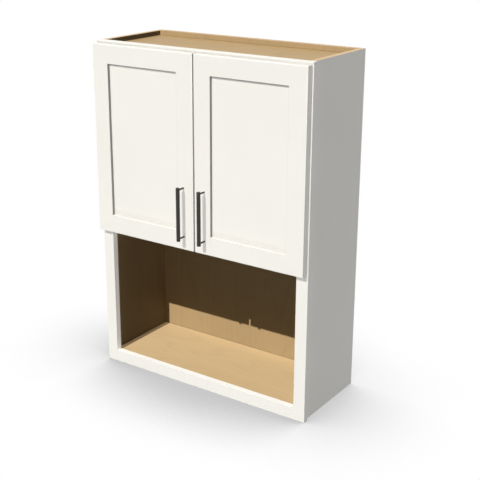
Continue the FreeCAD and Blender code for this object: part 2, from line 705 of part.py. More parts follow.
def handle_bar(name, side):
    label = f"{name}_handle_bar"
    body = doc.addObject("PartDesign::Body", label)
    middle = f"-({DOOR_FRONT} + handle_projection)"
    place(body, (handle_place(side), middle, f"{HANDLE_MIDDLE} - handle_length / 2"))
    sizes = {"Radius": "handle_radius", "Height": "handle_length"}
    bar = shape_feature(body, "AdditiveCylinder", f"{label}_rod", ("0", "0", "0"), sizes)
    chamfer = body.newObject("PartDesign::Chamfer", f"{label}_chamfer")
    doc.recompute()
    chamfer.Base = (bar, edges_on(bar.Shape, "top") + edges_on(bar.Shape, "bottom"))
    bind(chamfer, "Size", "handle_chamfer")
    for end in (-1, 1):
        corner = ("0", "handle_radius - post_socket", f"handle_length / 2 + {end} * post_spacing / 2")
        drill(body, f"{label}_socket_{end + 1}", corner, "y", "post_radius", "post_socket + overrun")
    return keep(body, label)


def handle_post(name, side, end):
    label = f"{name}_handle_post_{end + 1}"
    level = f"{HANDLE_MIDDLE} + {end} * post_spacing / 2"
    tip = "(handle_projection - handle_radius + post_socket)"
    start = (handle_place(side), f"-({DOOR_FRONT} + {tip})", level)
    post = rod(f"{label}_rod", start, "y", "post_radius", tip)
    start = (handle_place(side), f"-({DOOR_FRONT} + handle_screw_reach + joint_gap)", level)
    bore_depth = "handle_screw_reach + joint_gap + overrun"
    bore = rod(f"{label}_bore", start, "y", "handle_screw_radius + hole_clearance", bore_depth)
    return cut(label, post, bore)


def handle_screw(name, side, end):
    label = f"{name}_handle_screw_{end + 1}"
    level = f"{HANDLE_MIDDLE} + {end} * post_spacing / 2"
    start = (handle_place(side), f"-({DOOR_FRONT} + handle_screw_reach)", level)
    shank = rod(f"{label}_shank", start, "y", "handle_screw_radius", "handle_screw_reach + door_thickness")
    start = (handle_place(side), f"-{DOOR_BACK}", level)
    head = rod(f"{label}_head", start, "y", "handle_head_radius", "handle_head_height")
    return fuse(label, shank, head)


def door_bumper(name, side, end):
    cone = doc.addObject("Part::Cone", f"{name}_door_bumper_{end + 1}")
    cone.Placement = FreeCAD.Placement(FreeCAD.Vector(), TURNS["y"])
    bind(cone, "Radius1", "bumper_radius")
    bind(cone, "Radius2", "bumper_tip_radius")
    bind(cone, "Height", "bumper_gap - bumper_clearance")
    level = f"{DOOR_HIGH} - bumper_setback" if end > 0 else f"{DOOR_LOW} + bumper_setback"
    place(cone, (at(side, f"({DOOR_IN} + bumper_setback)"), f"-{DOOR_BACK}", level))
    return cone


for side_name, side_sign in SIDES:
    hinge_stile(side_name, side_sign)
    meeting_stile(side_name, side_sign)
    door_rail(side_name, side_sign, "top")
    door_rail(side_name, side_sign, "bottom")
    centre_panel(side_name, side_sign)
    hinge_pins = []
    hinge_springs = []
    arm_screws = []
    cup_screws = []
    for hinge_name, hinge_height in HINGES:
        hinge_cup(side_name, side_sign, hinge_name, hinge_height)
        hinge_arm(side_name, side_sign, hinge_name, hinge_height)
        pin_name = f"{side_name}_{hinge_name}_hinge_pin"
        pin_rod = pivot_rod(pin_name, side_sign, hinge_height, "hinge_pin_radius", "hinge_pin_reach")
        hinge_pins.append(pin_rod)
        hinge_springs.append(hinge_spring(side_name, side_sign, hinge_name, hinge_height))
        arm_screws.append(arm_screw(side_name, side_sign, hinge_name, hinge_height))
        for screw_end in (-1, 1):
            cup_screws.append(cup_screw(side_name, side_sign, hinge_name, hinge_height, screw_end))
    group(f"{side_name}_hinge_pins", *hinge_pins)
    group(f"{side_name}_hinge_springs", *hinge_springs)
    group(f"{side_name}_hinge_arm_screws", *arm_screws)
    group(f"{side_name}_hinge_cup_screws", *cup_screws)
    handle_bar(side_name, side_sign)
    group(f"{side_name}_handle_posts", *(handle_post(side_name, side_sign, end) for end in (-1, 1)))
    group(f"{side_name}_handle_screws", *(handle_screw(side_name, side_sign, end) for end in (-1, 1)))
    group(f"{side_name}_door_bumpers", *(door_bumper(side_name, side_sign, end) for end in (-1, 1)))

doc.recompute()

# Every object is sound, and every piece is a valid shape, before anything is written.
for thing in doc.Objects:
    if "Invalid" in thing.State or "Error" in thing.State:
        raise RuntimeError(f"{thing.Name} failed: {thing.State}")
for node in nodes:
    if node.Shape.isNull() or not node.Shape.isValid():
        raise RuntimeError(f"{node.Label} is not a valid shape")

os.makedirs("parts", exist_ok=True)
for node in nodes:
    node.Shape.exportStep(f"parts/{node.Label}.step")
    print(node.Label, len(node.Shape.Solids), round(node.Shape.Volume))
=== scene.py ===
import json
import math

import bmesh
import bpy
from mathutils import Matrix, Vector

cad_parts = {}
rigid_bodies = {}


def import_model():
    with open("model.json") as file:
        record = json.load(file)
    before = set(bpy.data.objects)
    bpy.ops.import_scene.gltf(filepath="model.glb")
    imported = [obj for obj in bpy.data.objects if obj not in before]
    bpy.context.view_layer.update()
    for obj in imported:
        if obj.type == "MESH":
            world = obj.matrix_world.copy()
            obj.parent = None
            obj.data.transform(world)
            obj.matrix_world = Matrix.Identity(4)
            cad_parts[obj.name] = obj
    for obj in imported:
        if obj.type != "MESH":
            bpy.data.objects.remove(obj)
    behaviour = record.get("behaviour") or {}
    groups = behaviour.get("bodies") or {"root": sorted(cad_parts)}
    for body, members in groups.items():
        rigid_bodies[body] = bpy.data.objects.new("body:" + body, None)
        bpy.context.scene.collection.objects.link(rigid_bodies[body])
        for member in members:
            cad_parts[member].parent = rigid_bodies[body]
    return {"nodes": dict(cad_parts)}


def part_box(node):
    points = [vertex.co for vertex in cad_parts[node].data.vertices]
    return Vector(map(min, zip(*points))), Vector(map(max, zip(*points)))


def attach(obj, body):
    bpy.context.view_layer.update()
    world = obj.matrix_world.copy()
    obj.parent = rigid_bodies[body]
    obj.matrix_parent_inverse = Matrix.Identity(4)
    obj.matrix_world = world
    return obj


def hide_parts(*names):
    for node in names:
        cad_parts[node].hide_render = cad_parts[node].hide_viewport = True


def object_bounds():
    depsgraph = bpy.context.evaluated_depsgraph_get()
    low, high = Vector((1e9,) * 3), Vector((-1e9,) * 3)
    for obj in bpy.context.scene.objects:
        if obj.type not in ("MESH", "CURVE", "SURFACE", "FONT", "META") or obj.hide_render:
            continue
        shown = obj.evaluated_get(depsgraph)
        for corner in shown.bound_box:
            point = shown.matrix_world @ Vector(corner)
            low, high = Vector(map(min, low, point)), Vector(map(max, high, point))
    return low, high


bl_info = {
    "name": "Wall Cabinet",
    "version": (1, 0, 0),
    "blender": (4, 5, 0),
    "location": "3D View > Sidebar > Cabinet",
    "description": "Finishes, hardware and stage for a face-frame wall cabinet",
    "category": "Object",
}

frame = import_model()
CAD_LOW, CAD_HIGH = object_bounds()

SIDES = ("left", "right")
HINGES = ("lower", "upper")
MM = 0.001

# A face counts as lying in a plane when it is this near to it.
SKIN = 0.2 * MM

# Points this near to each other, in metres, are one point: in the shapes made here,
# and in a solid of the frame before its edges are sanded.
MERGE = 1e-7
WELD = 1e-6

# Angles between faces: below the first they are one flat face, above the second a
# board's edge is sanded, and above the third a small part's edge looks sharp.
FLAT_ANGLE = math.radians(0.5)
SANDED_ANGLE = math.radians(50)
SHARP_ANGLE = math.radians(35)

# Boards that are painted off-white all over, by the direction of their grain.
UPRIGHT_PAINTED = [f"{side}_{board}" for side in SIDES for board in (
    "frame_stile",
    "door_hinge_stile",
    "door_meeting_stile",
    "door_panel",
)]
LEVEL_PAINTED = ["bottom_frame_rail", "middle_frame_rail", "top_frame_rail"]
LEVEL_PAINTED += [f"{side}_door_{rail}_rail" for side in SIDES for rail in ("top", "bottom")]

# Plywood boards: colour setting, axis of the grain, axis of the thickness.
PLYWOOD = {
    "bottom_panel": ("deck_color", "X", "Z"),
    "fixed_shelf": ("deck_color", "X", "Z"),
    "adjustable_shelf": ("deck_color", "X", "Z"),
    "top_panel": ("top_color", "X", "Z"),
    "back_panel": ("wall_color", "Z", "Y"),
    "upper_hanging_rail": ("wall_color", "X", "Y"),
    "lower_hanging_rail": ("wall_color", "X", "Y"),
}

# Texture steps per metre, the same all ways, or along and across the grain.
PAINT_CLOUDS = 5.0
PAINT_PEEL = 700.0
PAINT_PORES = (18.0, 900.0)
PAINT_WEAR = 60.0
MAPLE_FIGURE = (0.9, 7.0)
MAPLE_FIBRES = (9.0, 520.0)
MAPLE_FLECKS = (70.0, 1300.0)
PLY_FIBRES = 420.0
COATING_GRAIN = 1800.0
ROLLING_MARKS = (300.0, 2600.0)
STEEL_STAINS = 90.0
BUMPER_HAZE = 500.0

# Values of a texture between which a mark fades in.
MIDDLE = (0.3, 0.7)
WIDE = (0.2, 0.8)
CLOUD_FADE = (0.35, 0.65)
LINE_FADE = (0.55, 1.0)
FLECK_FADE = (0.62, 0.72)
PLY_FADE = (0.42, 0.58)
PIT_FADE = (0.35, 0.75)

# Brightness of a mark, as a share of its finish's colour, or of a texture's two ends.
CLOUD_TINT = 0.985
# Painted shade in the doors' recesses and above the doors.
PAINTED_SHADE_TINT = 0.12
# A dark joint line with painted shade where the panels meet the back.
JOINT_SHADE_TINT = 0.15
# Painted shade on the inner sides.
SIDE_SHADE_TINT = 0.3
FIGURE_TINTS = (1.03, 0.96)
LINE_TINT = 0.86
FIBRE_TINT = 0.88
FLECK_TINT = 0.6
PLY_TINT = 0.78
PIT_TINT = 0.6
STAIN_TINT = 0.9
COATING_TINTS = (0.9, 1.15)

# Where a board's figure starts in its texture, so that no two boards look alike: the
# step from one plywood board to the next, the sides' start and step, and the dowels'.
BOARD_STEP = 3.7
SIDE_START = 1.3
SIDE_STEP = 5.1
DOWEL_START = 2.0

# How strongly a mark shows.
LINE_WEIGHT = 0.35
FIBRE_WEIGHT = 0.3
FLECK_WEIGHT = 0.22
PIT_WEIGHT = 0.3
# How strongly the painted shade above the doors shows.
TOP_SHADE_WEIGHT = 0.22

# How far the painted shade above the doors climbs the frame, as a share of its top reach.
TOP_SHADE_CLIMB = 0.7

# Depth of each finish's relief. The last two are the share of the paint's pores and
# of the maple's flecks in it, against its other marks.
PAINT_RELIEF = 0.02 * MM
VENEER_RELIEF = 0.03 * MM
DOWEL_RELIEF = 0.05 * MM
COATING_RELIEF = 0.006 * MM
STEEL_RELIEF = 0.0006 * MM
PORE_RELIEF = 1.4
FLECK_RELIEF = -0.8

# Roughness of each finish, one value or its smoothest and roughest place. The paint's
# differs by this much either way from its setting.
PAINT_ROUGHNESS_SPREAD = 0.05
VENEER_ROUGHNESS = (0.46, 0.56)
BARE_WOOD_ROUGHNESS = 0.5
DOWEL_ROUGHNESS = 0.6
COATING_ROUGHNESS = (0.33, 0.42)
STEEL_ROUGHNESS = (0.34, 0.4)
BUMPER_ROUGHNESS = (0.18, 0.28)

# Strength of a finish's reflections, where 0.5 leaves the shader's own.
PAINT_SHINE = 0.2
VENEER_SHINE = 0.15
COATING_SHINE = 0.3

# Veneer and plies: growth lines in a board's figure, thickness of a ply, and how far
# the edges of the back and of the rails take the colour of their faces.
GROWTH_LINES = 26.0
PLY_THICKNESS = 1.75 * MM
FEWEST_PLIES = 3
EDGE_BLEND = 0.6

# Clear plastic of the bumpers: its two shades and how much light it lets through.
BUMPER_COLORS = ([0.74, 0.74, 0.72, 1.0], [0.82, 0.82, 0.80, 1.0])
BUMPER_CLEARNESS = 0.45

# Screws: share of its length and width that a recess keeps at its floor, depth of the
# recess as a share of the head, and length of the point in radii of the shank.
RECESS_TAPER = (0.45, 0.7, 1.0)
RECESS_DEPTH = 0.8
POINT_LENGTH = 2.2

# Rise of a bumper's dome, as a share of the bumper's height.
DOME_SHARE = 0.5

# Colours of the light.
WARM = (1.0, 0.965, 0.90)
SOFT_WHITE = (1.0, 0.99, 0.95)
NEUTRAL = (1.0, 1.0, 1.0)
FROM_WOOD = (1.0, 0.92, 0.6)
ROOM_COLOR = (0.74, 1.0, 1.25, 1.0)
WHITE = (1.0, 1.0, 1.0, 1.0)
BLACK = (0.0, 0.0, 0.0, 1.0)

# Where the camera looks, near the cabinet's middle.
VIEW_TARGET = Vector((0, -0.168, 0.526))

# The floor: its gap under the cabinet, the open share of the sky between which its
# shadow fades, and the shadow's lean to the side as a share of its lean to the front.
FLOOR_GAP = 0.5 * MM
SHADOW_FADE = (0.5, 0.93)
SIDE_LEAN = 0.3

# Sockets of a node that mixes colours: the share and the two colours, and the result.
MIX_INPUTS = (0, 6, 7)
MIX_RESULT = 2


# Settings.
class CabinetFinishes(bpy.types.PropertyGroup):
    """Colours and sheens of the cabinet."""

    paint_color: bpy.props.FloatVectorProperty(
        name="Paint",
        description="Off-white paint on the face frame, the doors and the outer sides",
        subtype="COLOR",
        min=0,
        max=1,
        default=(0.89, 0.868, 0.828),
    )
    paint_roughness: bpy.props.FloatProperty(
        name="Paint roughness",
        description="Satin sheen of the paint",
        subtype="FACTOR",
        min=0,
        max=1,
        default=0.42,
    )
    deck_color: bpy.props.FloatVectorProperty(
        name="Deck maple",
        description="Maple veneer of the niche's floor and of the shelves",
        subtype="COLOR",
        min=0,
        max=1,
        default=(0.505, 0.37, 0.21),
    )
    board_glow: bpy.props.FloatProperty(
        name="Board glow",
        description="Share of their light that the level boards throw on what is round them",
        subtype="FACTOR",
        min=0,
        max=1,
        default=0.25,
    )
    top_color: bpy.props.FloatVectorProperty(
        name="Top maple",
        description="Maple veneer of the top panel",
        subtype="COLOR",
        min=0,
        max=1,
        default=(0.362, 0.252, 0.124),
    )
    wall_color: bpy.props.FloatVectorProperty(
        name="Wall maple",
        description="Maple veneer of the back and the hanging rails",
        subtype="COLOR",
        min=0,
        max=1,
        default=(0.402, 0.28, 0.148),
    )
    side_color: bpy.props.FloatVectorProperty(
        name="Side maple",
        description="Maple veneer of the inner sides",
        subtype="COLOR",
        min=0,
        max=1,
        default=(0.41, 0.30, 0.175),
    )
    ply_color: bpy.props.FloatVectorProperty(
        name="Plywood core",
        description="Bare plies on the boards' edges",
        subtype="COLOR",
        min=0,
        max=1,
        default=(0.66, 0.47, 0.28),
    )
    corner_shade: bpy.props.FloatProperty(
        name="Corner shade",
        # How dark the painted shade is in the corners of the doors' recesses and above the doors
        description="How dark the dust is in the corners of the doors' recesses",
        subtype="FACTOR",
        min=0,
        max=1,
        default=0.85,
    )
    corner_reach: bpy.props.FloatProperty(
        name="Corner reach",
        description="How far that shade spreads over a panel from its sides; more from its rails",
        unit="LENGTH",
        default=0.8 * MM,
    )
    wall_reach: bpy.props.FloatProperty(
        name="Wall reach",
        description="How far that shade climbs a recess's walls",
        unit="LENGTH",
        default=45.0 * MM,
    )
    top_reach: bpy.props.FloatProperty(
        name="Top reach",
        # How far the painted shade above the doors spreads over their top edges
        description="How far the dust above the doors spreads over their top edges",
        unit="LENGTH",
        default=30.0 * MM,
    )
    joint_reach: bpy.props.FloatProperty(
        name="Joint reach",
        # Width of the dark line and painted shade where a panel meets the back
        description="Width of the dark line where a panel meets the back",
        unit="LENGTH",
        default=2.2 * MM,
    )
    joint_shade: bpy.props.FloatProperty(
        name="Joint shade",
        description="How dark that line is",
        subtype="FACTOR",
        min=0,
        max=1,
        default=0.5,
    )
    side_shade: bpy.props.FloatProperty(
        # Side shade
        name="Age shade",
        # How much painted shade darkens the sides' maple low in the niche and at the very top
        description="How much the sides' maple is darker low in the niche and at the very top",
        subtype="FACTOR",
        min=0,
        max=1,
        default=0.6,
    )
    side_shade_reach: bpy.props.FloatProperty(
        # Side shade reach
        name="Age reach",
        # How far up the niche's sides that painted shade goes
        description="How far up the niche's sides that darkening goes",
        unit="LENGTH",
        default=0.35,
    )
    handle_color: bpy.props.FloatVectorProperty(
        name="Handle",
        description="Dark coating of the handles",
        subtype="COLOR",
        min=0,
        max=1,
        default=(0.026, 0.0235, 0.0205),
    )
    steel_color: bpy.props.FloatVectorProperty(
        name="Steel",
        description="Nickel plating of the hinges, the screws and the shelf pins",
        subtype="COLOR",
        min=0,
        max=1,
        default=(0.62, 0.61, 0.59),
    )


class CabinetHardware(bpy.types.PropertyGroup):
    """Sizes of the details that the solids leave plain."""

    bar_edge: bpy.props.FloatProperty(
        name="Bar edge",
        description="Rounding at the ends of a handle bar",
        unit="LENGTH",
        default=0.8 * MM,
    )
    post_edge: bpy.props.FloatProperty(
        name="Post edge",
        description="Rounding where a handle post meets the door",
        unit="LENGTH",
        default=0.3 * MM,
    )
    recess_width: bpy.props.FloatProperty(
        name="Recess width",
        description="Arms of the cross recess in a screw head",
        unit="LENGTH",
        default=0.8 * MM,
    )
    recess_share: bpy.props.FloatProperty(
        name="Recess share",
        description="Length of the cross recess as a share of the screw head",
        subtype="FACTOR",
        default=0.62,
    )
    board_edge: bpy.props.FloatProperty(
        name="Board edge",
        description="Sanded edges of the painted boards",
        unit="LENGTH",
        default=0.25 * MM,
    )


class CabinetStage(bpy.types.PropertyGroup):
    """Camera, light and floor."""

    view_azimuth: bpy.props.FloatProperty(
        name="View azimuth",
        description="Camera to the right of straight on",
        subtype="ANGLE",
        default=math.radians(35.01),
    )
    view_elevation: bpy.props.FloatProperty(
        name="View elevation",
        description="Camera above the level",
        subtype="ANGLE",
        default=math.radians(18.05),
    )
    view_distance: bpy.props.FloatProperty(
        name="View distance",
        description="Camera to the cabinet's middle",
        unit="LENGTH",
        default=3.061,
    )
    lens: bpy.props.FloatProperty(
        name="Lens",
        description="Focal length on a 36 mm sensor, in millimetres",
        default=73.8,
    )
    frame_shift: bpy.props.FloatVectorProperty(
        name="Frame shift",
        description="Shift of the picture's frame, as a share of its width",
        size=2,
        default=(0.0313, -0.0431),
    )
    key_elevation: bpy.props.FloatProperty(
        name="Key elevation",
        description="Key light above the level, straight in front of the cabinet",
        subtype="ANGLE",
        default=math.atan(1.159),
    )
    key_level: bpy.props.FloatProperty(
        name="Key level",
        description="Light that the key gives an upright wooden board; 1 shows a colour as it is",
        default=1.1,
    )
    soft_share: bpy.props.FloatProperty(
        name="Soft share",
        description="Part of the key that the frame's stiles let past to the niche's floor",
        subtype="FACTOR",
        default=0.24,
    )
    front_key_level: bpy.props.FloatProperty(
        name="Front key level",
        description="Light that the painted front's own key gives it",
        default=0.42,
    )
    front_key_elevation: bpy.props.FloatProperty(
        name="Front key elevation",
        description="The painted front's own key above the level",
        subtype="ANGLE",
        default=math.radians(40),
    )
    top_level: bpy.props.FloatProperty(
        name="Top level",
        description="Light from above on the painted front's upper edges",
        default=0.64,
    )
    front_right_level: bpy.props.FloatProperty(
        name="Front right level",
        description="Light that the painted front's right edges get",
        default=0.30,
    )
    front_right_azimuth: bpy.props.FloatProperty(
        name="Front right azimuth",
        description="Lamp for those edges, to the right of straight on",
        subtype="ANGLE",
        default=math.radians(75),
    )
    front_fill_level: bpy.props.FloatProperty(
        name="Front fill level",
        description="Soft light on the painted front, which eases the shadows there",
        default=0.49,
    )
    fill_azimuth: bpy.props.FloatProperty(
        name="Fill azimuth",
        description="Soft front lamp to the right of straight on",
        subtype="ANGLE",
        default=math.radians(0),
    )
    fill_elevation: bpy.props.FloatProperty(
        name="Fill elevation",
        description="Soft front lamp above the level",
        subtype="ANGLE",
        default=math.radians(10),
    )
    fill_spread: bpy.props.FloatProperty(
        name="Fill spread",
        description="Width of the soft front lamp",
        subtype="ANGLE",
        default=math.radians(80),
    )
    key_spread: bpy.props.FloatProperty(
        name="Key spread",
        description="Width of the key light in the sky",
        subtype="ANGLE",
        default=math.radians(0.5),
    )
    right_level: bpy.props.FloatProperty(
        name="Right level",
        description="Light that the right lamp gives the side it faces",
        default=0.37,
    )
    left_level: bpy.props.FloatProperty(
        name="Left level",
        description="Light that the left lamp gives the side it faces",
        default=0.5,
    )
    back_level: bpy.props.FloatProperty(
        name="Back level",
        description="Light that the rear lamp gives the cabinet's back",
        default=0.65,
    )
    inner_level: bpy.props.FloatProperty(
        name="Inner level",
        description="Light that each inner lamp gives a wooden board that faces it",
        default=0.042,
    )
    inner_azimuth: bpy.props.FloatProperty(
        name="Inner azimuth",
        description="Lamps for the inner walls, to both sides of straight on",
        subtype="ANGLE",
        default=math.radians(60),
    )
    side_elevation: bpy.props.FloatProperty(
        name="Side elevation",
        description="Side and rear lamps above the level; below it, they miss the top recess",
        subtype="ANGLE",
        default=math.radians(-3),
    )
    side_spread: bpy.props.FloatProperty(
        name="Side spread",
        description="Width of the side lamps in the sky",
        subtype="ANGLE",
        default=math.radians(2.0),
    )
    room_level: bpy.props.FloatProperty(
        name="Room level",
        description="Even light from all round",
        default=0.03,
    )
    shadow_reach: bpy.props.FloatProperty(
        name="Shadow reach",
        description="How far the soft shadow on the floor spreads",
        unit="LENGTH",
        default=0.62,
    )
    shadow_level: bpy.props.FloatProperty(
        name="Shadow level",
        description="Brightness of the floor against the cabinet",
        subtype="FACTOR",
        default=0.58,
    )
    shadow_lean: bpy.props.FloatProperty(
        name="Shadow lean",
        description="How far the floor's shadow leans, mostly to the front",
        default=0.12,
    )
    floor_radius: bpy.props.FloatProperty(
        name="Floor radius",
        description="Round floor under the cabinet",
        unit="LENGTH",
        default=25.0,
    )


# The groups of settings, by the names that a scene holds them under.
SETTINGS = {
    "cabinet_finishes": CabinetFinishes,
    "cabinet_hardware": CabinetHardware,
    "cabinet_stage": CabinetStage,
}


# Finishes.
class Finish:
    """A material in the making: its shader, and short calls for what feeds it."""

    def __init__(self, name):
        self.material = bpy.data.materials.new(name)
        self.material.use_nodes = True
        self.tree = self.material.node_tree
        self.shader = self.tree.nodes["Principled BSDF"]
        self.place = self.add("ShaderNodeTexCoord").outputs["Object"]

    def add(self, kind, **settings):
        """A new node with its settings."""
        node = self.tree.nodes.new(kind)
        for name, value in settings.items():
            setattr(node, name, value)
        return node

    def feed(self, socket, source):
        """Link a socket to another one, or give it a fixed value."""
        if isinstance(source, bpy.types.NodeSocket):
            self.tree.links.new(source, socket)
        else:
            socket.default_value = source

    def surface(self, **values):
        """Feed the shader's sockets, named with underscores for spaces."""
        for name, value in values.items():
            self.feed(self.shader.inputs[name.replace("_", " ")], value)

    def axis(self, name):
        """One coordinate of the place on the object."""
        split = self.add("ShaderNodeSeparateXYZ")
        self.feed(split.inputs[0], self.place)
        return split.outputs[name]

    def stretched(self, grain, along, across, start=0.0):
        """Object coordinates in texture steps per metre, fewer along the grain."""
        mapping = self.add("ShaderNodeMapping")
        self.feed(mapping.inputs["Vector"], self.place)
        mapping.inputs["Location"].default_value = (start, start, start)
        steps = [along if axis == grain else across for axis in "XYZ"]
        mapping.inputs["Scale"].default_value = steps
        return mapping.outputs["Vector"]

    def noise(self, vector, detail=2.0, scale=1.0, distortion=0.0):
        """Soft noise from 0 to 1."""
        texture = self.add("ShaderNodeTexNoise")
        self.feed(texture.inputs["Vector"], vector)
        texture.inputs["Scale"].default_value = scale
        texture.inputs["Detail"].default_value = detail
        texture.inputs["Distortion"].default_value = distortion
        return texture.outputs["Fac"]

    def sums(self, operation, first, second=0.0):
        """One sum, such as ADD or MAXIMUM, of one or two values or sockets."""
        node = self.add("ShaderNodeMath", operation=operation)
        self.feed(node.inputs[0], first)
        self.feed(node.inputs[1], second)
        return node.outputs[0]

    def between(self, value, low, high, start=0.0, end=1.0):
        """A value spread smoothly from one range to another."""
        node = self.add("ShaderNodeMapRange", interpolation_type="SMOOTHSTEP")
        for name, source in (
            ("Value", value),
            ("From Min", low),
            ("From Max", high),
            ("To Min", start),
            ("To Max", end),
        ):
            self.feed(node.inputs[name], source)
        return node.outputs["Result"]

    def mix(self, factor, first, second):
        """A colour between two colours."""
        node = self.add("ShaderNodeMix", data_type="RGBA")
        for index, source in zip(MIX_INPUTS, (factor, first, second)):
            self.feed(node.inputs[index], source)
        return node.outputs[MIX_RESULT]

    def dimmed(self, color, share):
        """A colour that lights what is round it by only a share of what it would."""
        rays = self.add("ShaderNodeLightPath")
        kept = self.sums("MULTIPLY", rays.outputs["Is Diffuse Ray"], 1.0 - share)
        return self.mix(kept, color, BLACK)

    def bump(self, height, depth):
        """Relief of the given depth in metres."""
        node = self.add("ShaderNodeBump")
        node.inputs["Strength"].default_value = 1.0
        node.inputs["Distance"].default_value = depth
        self.feed(node.inputs["Height"], height)
        return node.outputs["Normal"]


def shade(color, share):
    """A colour with its brightness changed, as four numbers."""
    return [channel * share for channel in color] + [1.0]


def paint_coat(finish, color, grain):
    """Colour, roughness and relief of satin paint over wood."""
    cloud = finish.between(finish.noise(finish.place, scale=PAINT_CLOUDS), *CLOUD_FADE)
    coat = finish.mix(cloud, shade(color, 1.0), shade(color, CLOUD_TINT))
    peel = finish.noise(finish.place, detail=3.0, scale=PAINT_PEEL)
    pores = finish.noise(finish.stretched(grain, *PAINT_PORES), detail=3.0)
    relief = finish.sums("ADD", peel, finish.sums("MULTIPLY", pores, PORE_RELIEF))
    return coat, relief


def near_corner(finish, *planes):
    """1 in a straight corner and 0 out of reach.

    Each plane is a coordinate, its value in the plane and the reach away from it.
    """
    squares = []
    for coordinate, value, reach in planes:
        away = finish.sums("DIVIDE", finish.sums("SUBTRACT", coordinate, value), reach)
        squares.append(finish.sums("MULTIPLY", away, away))
    distance = finish.sums("SQRT", finish.sums("ADD", *squares))
    return finish.between(distance, 0.0, 1.0, 1.0, 0.0)


def recess_shade(finish, settings):
    """Painted shade in the corners of the doors' recesses and up their walls, least at the bottom.
    """
    across = finish.sums("ABSOLUTE", finish.axis("X"))
    up = finish.axis("Z")
    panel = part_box("right_door_panel")[0].y
    wall = settings.wall_reach
    dark, inside = 0.0, 1.0
    # Each side: its coordinate and edge, the way out, the spread over the panel in
    # reaches, the climb up the wall and the darkness.
    for coordinate, edge, out, spread, climb, share in (
        (across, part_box("right_door_meeting_stile")[1].x, -1.0, 1.0, wall, 1.0),
        (across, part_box("right_door_hinge_stile")[0].x, 1.0, 1.0, wall, 1.0),
        (up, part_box("right_door_top_rail")[0].z, 1.0, 9.5, wall, 0.85),
        (up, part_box("right_door_bottom_rail")[1].z, -1.0, 30.0, 0.6 * wall, 0.30),
    ):
        near = near_corner(
            finish,
            (coordinate, edge, spread * settings.corner_reach),
            (finish.axis("Y"), panel, climb),
        )
        dark = finish.sums("MAXIMUM", dark, finish.sums("MULTIPLY", near, share))
        beyond = finish.sums("MULTIPLY", finish.sums("SUBTRACT", coordinate, edge), out)
        inside = finish.sums("MULTIPLY", inside, finish.sums("LESS_THAN", beyond, SKIN))
    return finish.sums("MULTIPLY", dark, inside)


def top_shade(finish, settings):
    """Painted shade where the doors' top edges meet the frame."""
    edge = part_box("right_door_top_rail")[1].z
    up = finish.axis("Z")
    near = near_corner(
        finish,
        (up, edge, TOP_SHADE_CLIMB * settings.top_reach),
        (finish.axis("Y"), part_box("top_frame_rail")[0].y, settings.top_reach),
    )
    above = finish.sums("GREATER_THAN", up, edge - SKIN)
    return finish.sums("MULTIPLY", finish.sums("MULTIPLY", near, above), TOP_SHADE_WEIGHT)


def board_shade(finish, settings):
    """A thin dark line along the joints of the bottom and top panels with the back, with painted
    shade in those corners.
    """
    back = (finish.axis("Y"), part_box("back_panel")[0].y, settings.joint_reach)
    up = finish.axis("Z")
    dark = [
        near_corner(finish, back, (up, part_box(board)[1].z, settings.joint_reach))
        for board in ("bottom_panel", "top_panel")
    ]
    return finish.sums("MULTIPLY", finish.sums("ADD", *dark), settings.joint_shade)


def painted(name, settings, grain, recess=False):
    """Off-white satin paint, with the wood's grain just showing in its relief and painted shade
    above the doors; on the doors also in their recesses.
    """
    finish = Finish(name)
    coat, relief = paint_coat(finish, settings.paint_color, grain)
    # Painted shade above the doors and, on the doors, in the corners of their recesses.
    painted_shade = top_shade(finish, settings)
    if recess:
        painted_shade = finish.sums("MAXIMUM", painted_shade, recess_shade(finish, settings))
    painted_shade = finish.sums("MULTIPLY", painted_shade, settings.corner_shade)
    coat = finish.mix(painted_shade, coat, shade(settings.paint_color, PAINTED_SHADE_TINT))
    wear = finish.noise(finish.place, detail=4.0, scale=PAINT_WEAR)
    low = settings.paint_roughness - PAINT_ROUGHNESS_SPREAD
    high = settings.paint_roughness + PAINT_ROUGHNESS_SPREAD
    finish.surface(
        Base_Color=coat,
        Roughness=finish.between(wear, *MIDDLE, low, high),
        Specular_IOR_Level=PAINT_SHINE,
        Normal=finish.bump(relief, PAINT_RELIEF),
    )
    return finish.material


def veneer(finish, color, grain, start):
    """Colour and relief of maple: broad figure, growth lines, fibres and small flecks."""
    place = finish.stretched(grain, *MAPLE_FIGURE, start)
    figure = finish.noise(place, detail=1.0, distortion=0.4)
    line = finish.sums("PINGPONG", finish.sums("MULTIPLY", figure, GROWTH_LINES), 1.0)
    line = finish.between(line, *LINE_FADE)
    fibre = finish.noise(finish.stretched(grain, *MAPLE_FIBRES, start), detail=4.0)
    fleck = finish.noise(finish.stretched(grain, *MAPLE_FLECKS, start), detail=1.0)
    fleck = finish.between(fleck, *FLECK_FADE)
    tone = finish.between(figure, *MIDDLE)
    wood = finish.mix(tone, *(shade(color, tint) for tint in FIGURE_TINTS))
    lines = finish.sums("MULTIPLY", line, LINE_WEIGHT)
    wood = finish.mix(lines, wood, shade(color, LINE_TINT))
    fibres = finish.between(fibre, *MIDDLE, 0.0, FIBRE_WEIGHT)
    wood = finish.mix(fibres, wood, shade(color, FIBRE_TINT))
    flecks = finish.sums("MULTIPLY", fleck, FLECK_WEIGHT)
    wood = finish.mix(flecks, wood, shade(color, FLECK_TINT))
    return wood, finish.sums("ADD", fibre, finish.sums("MULTIPLY", fleck, FLECK_RELIEF))


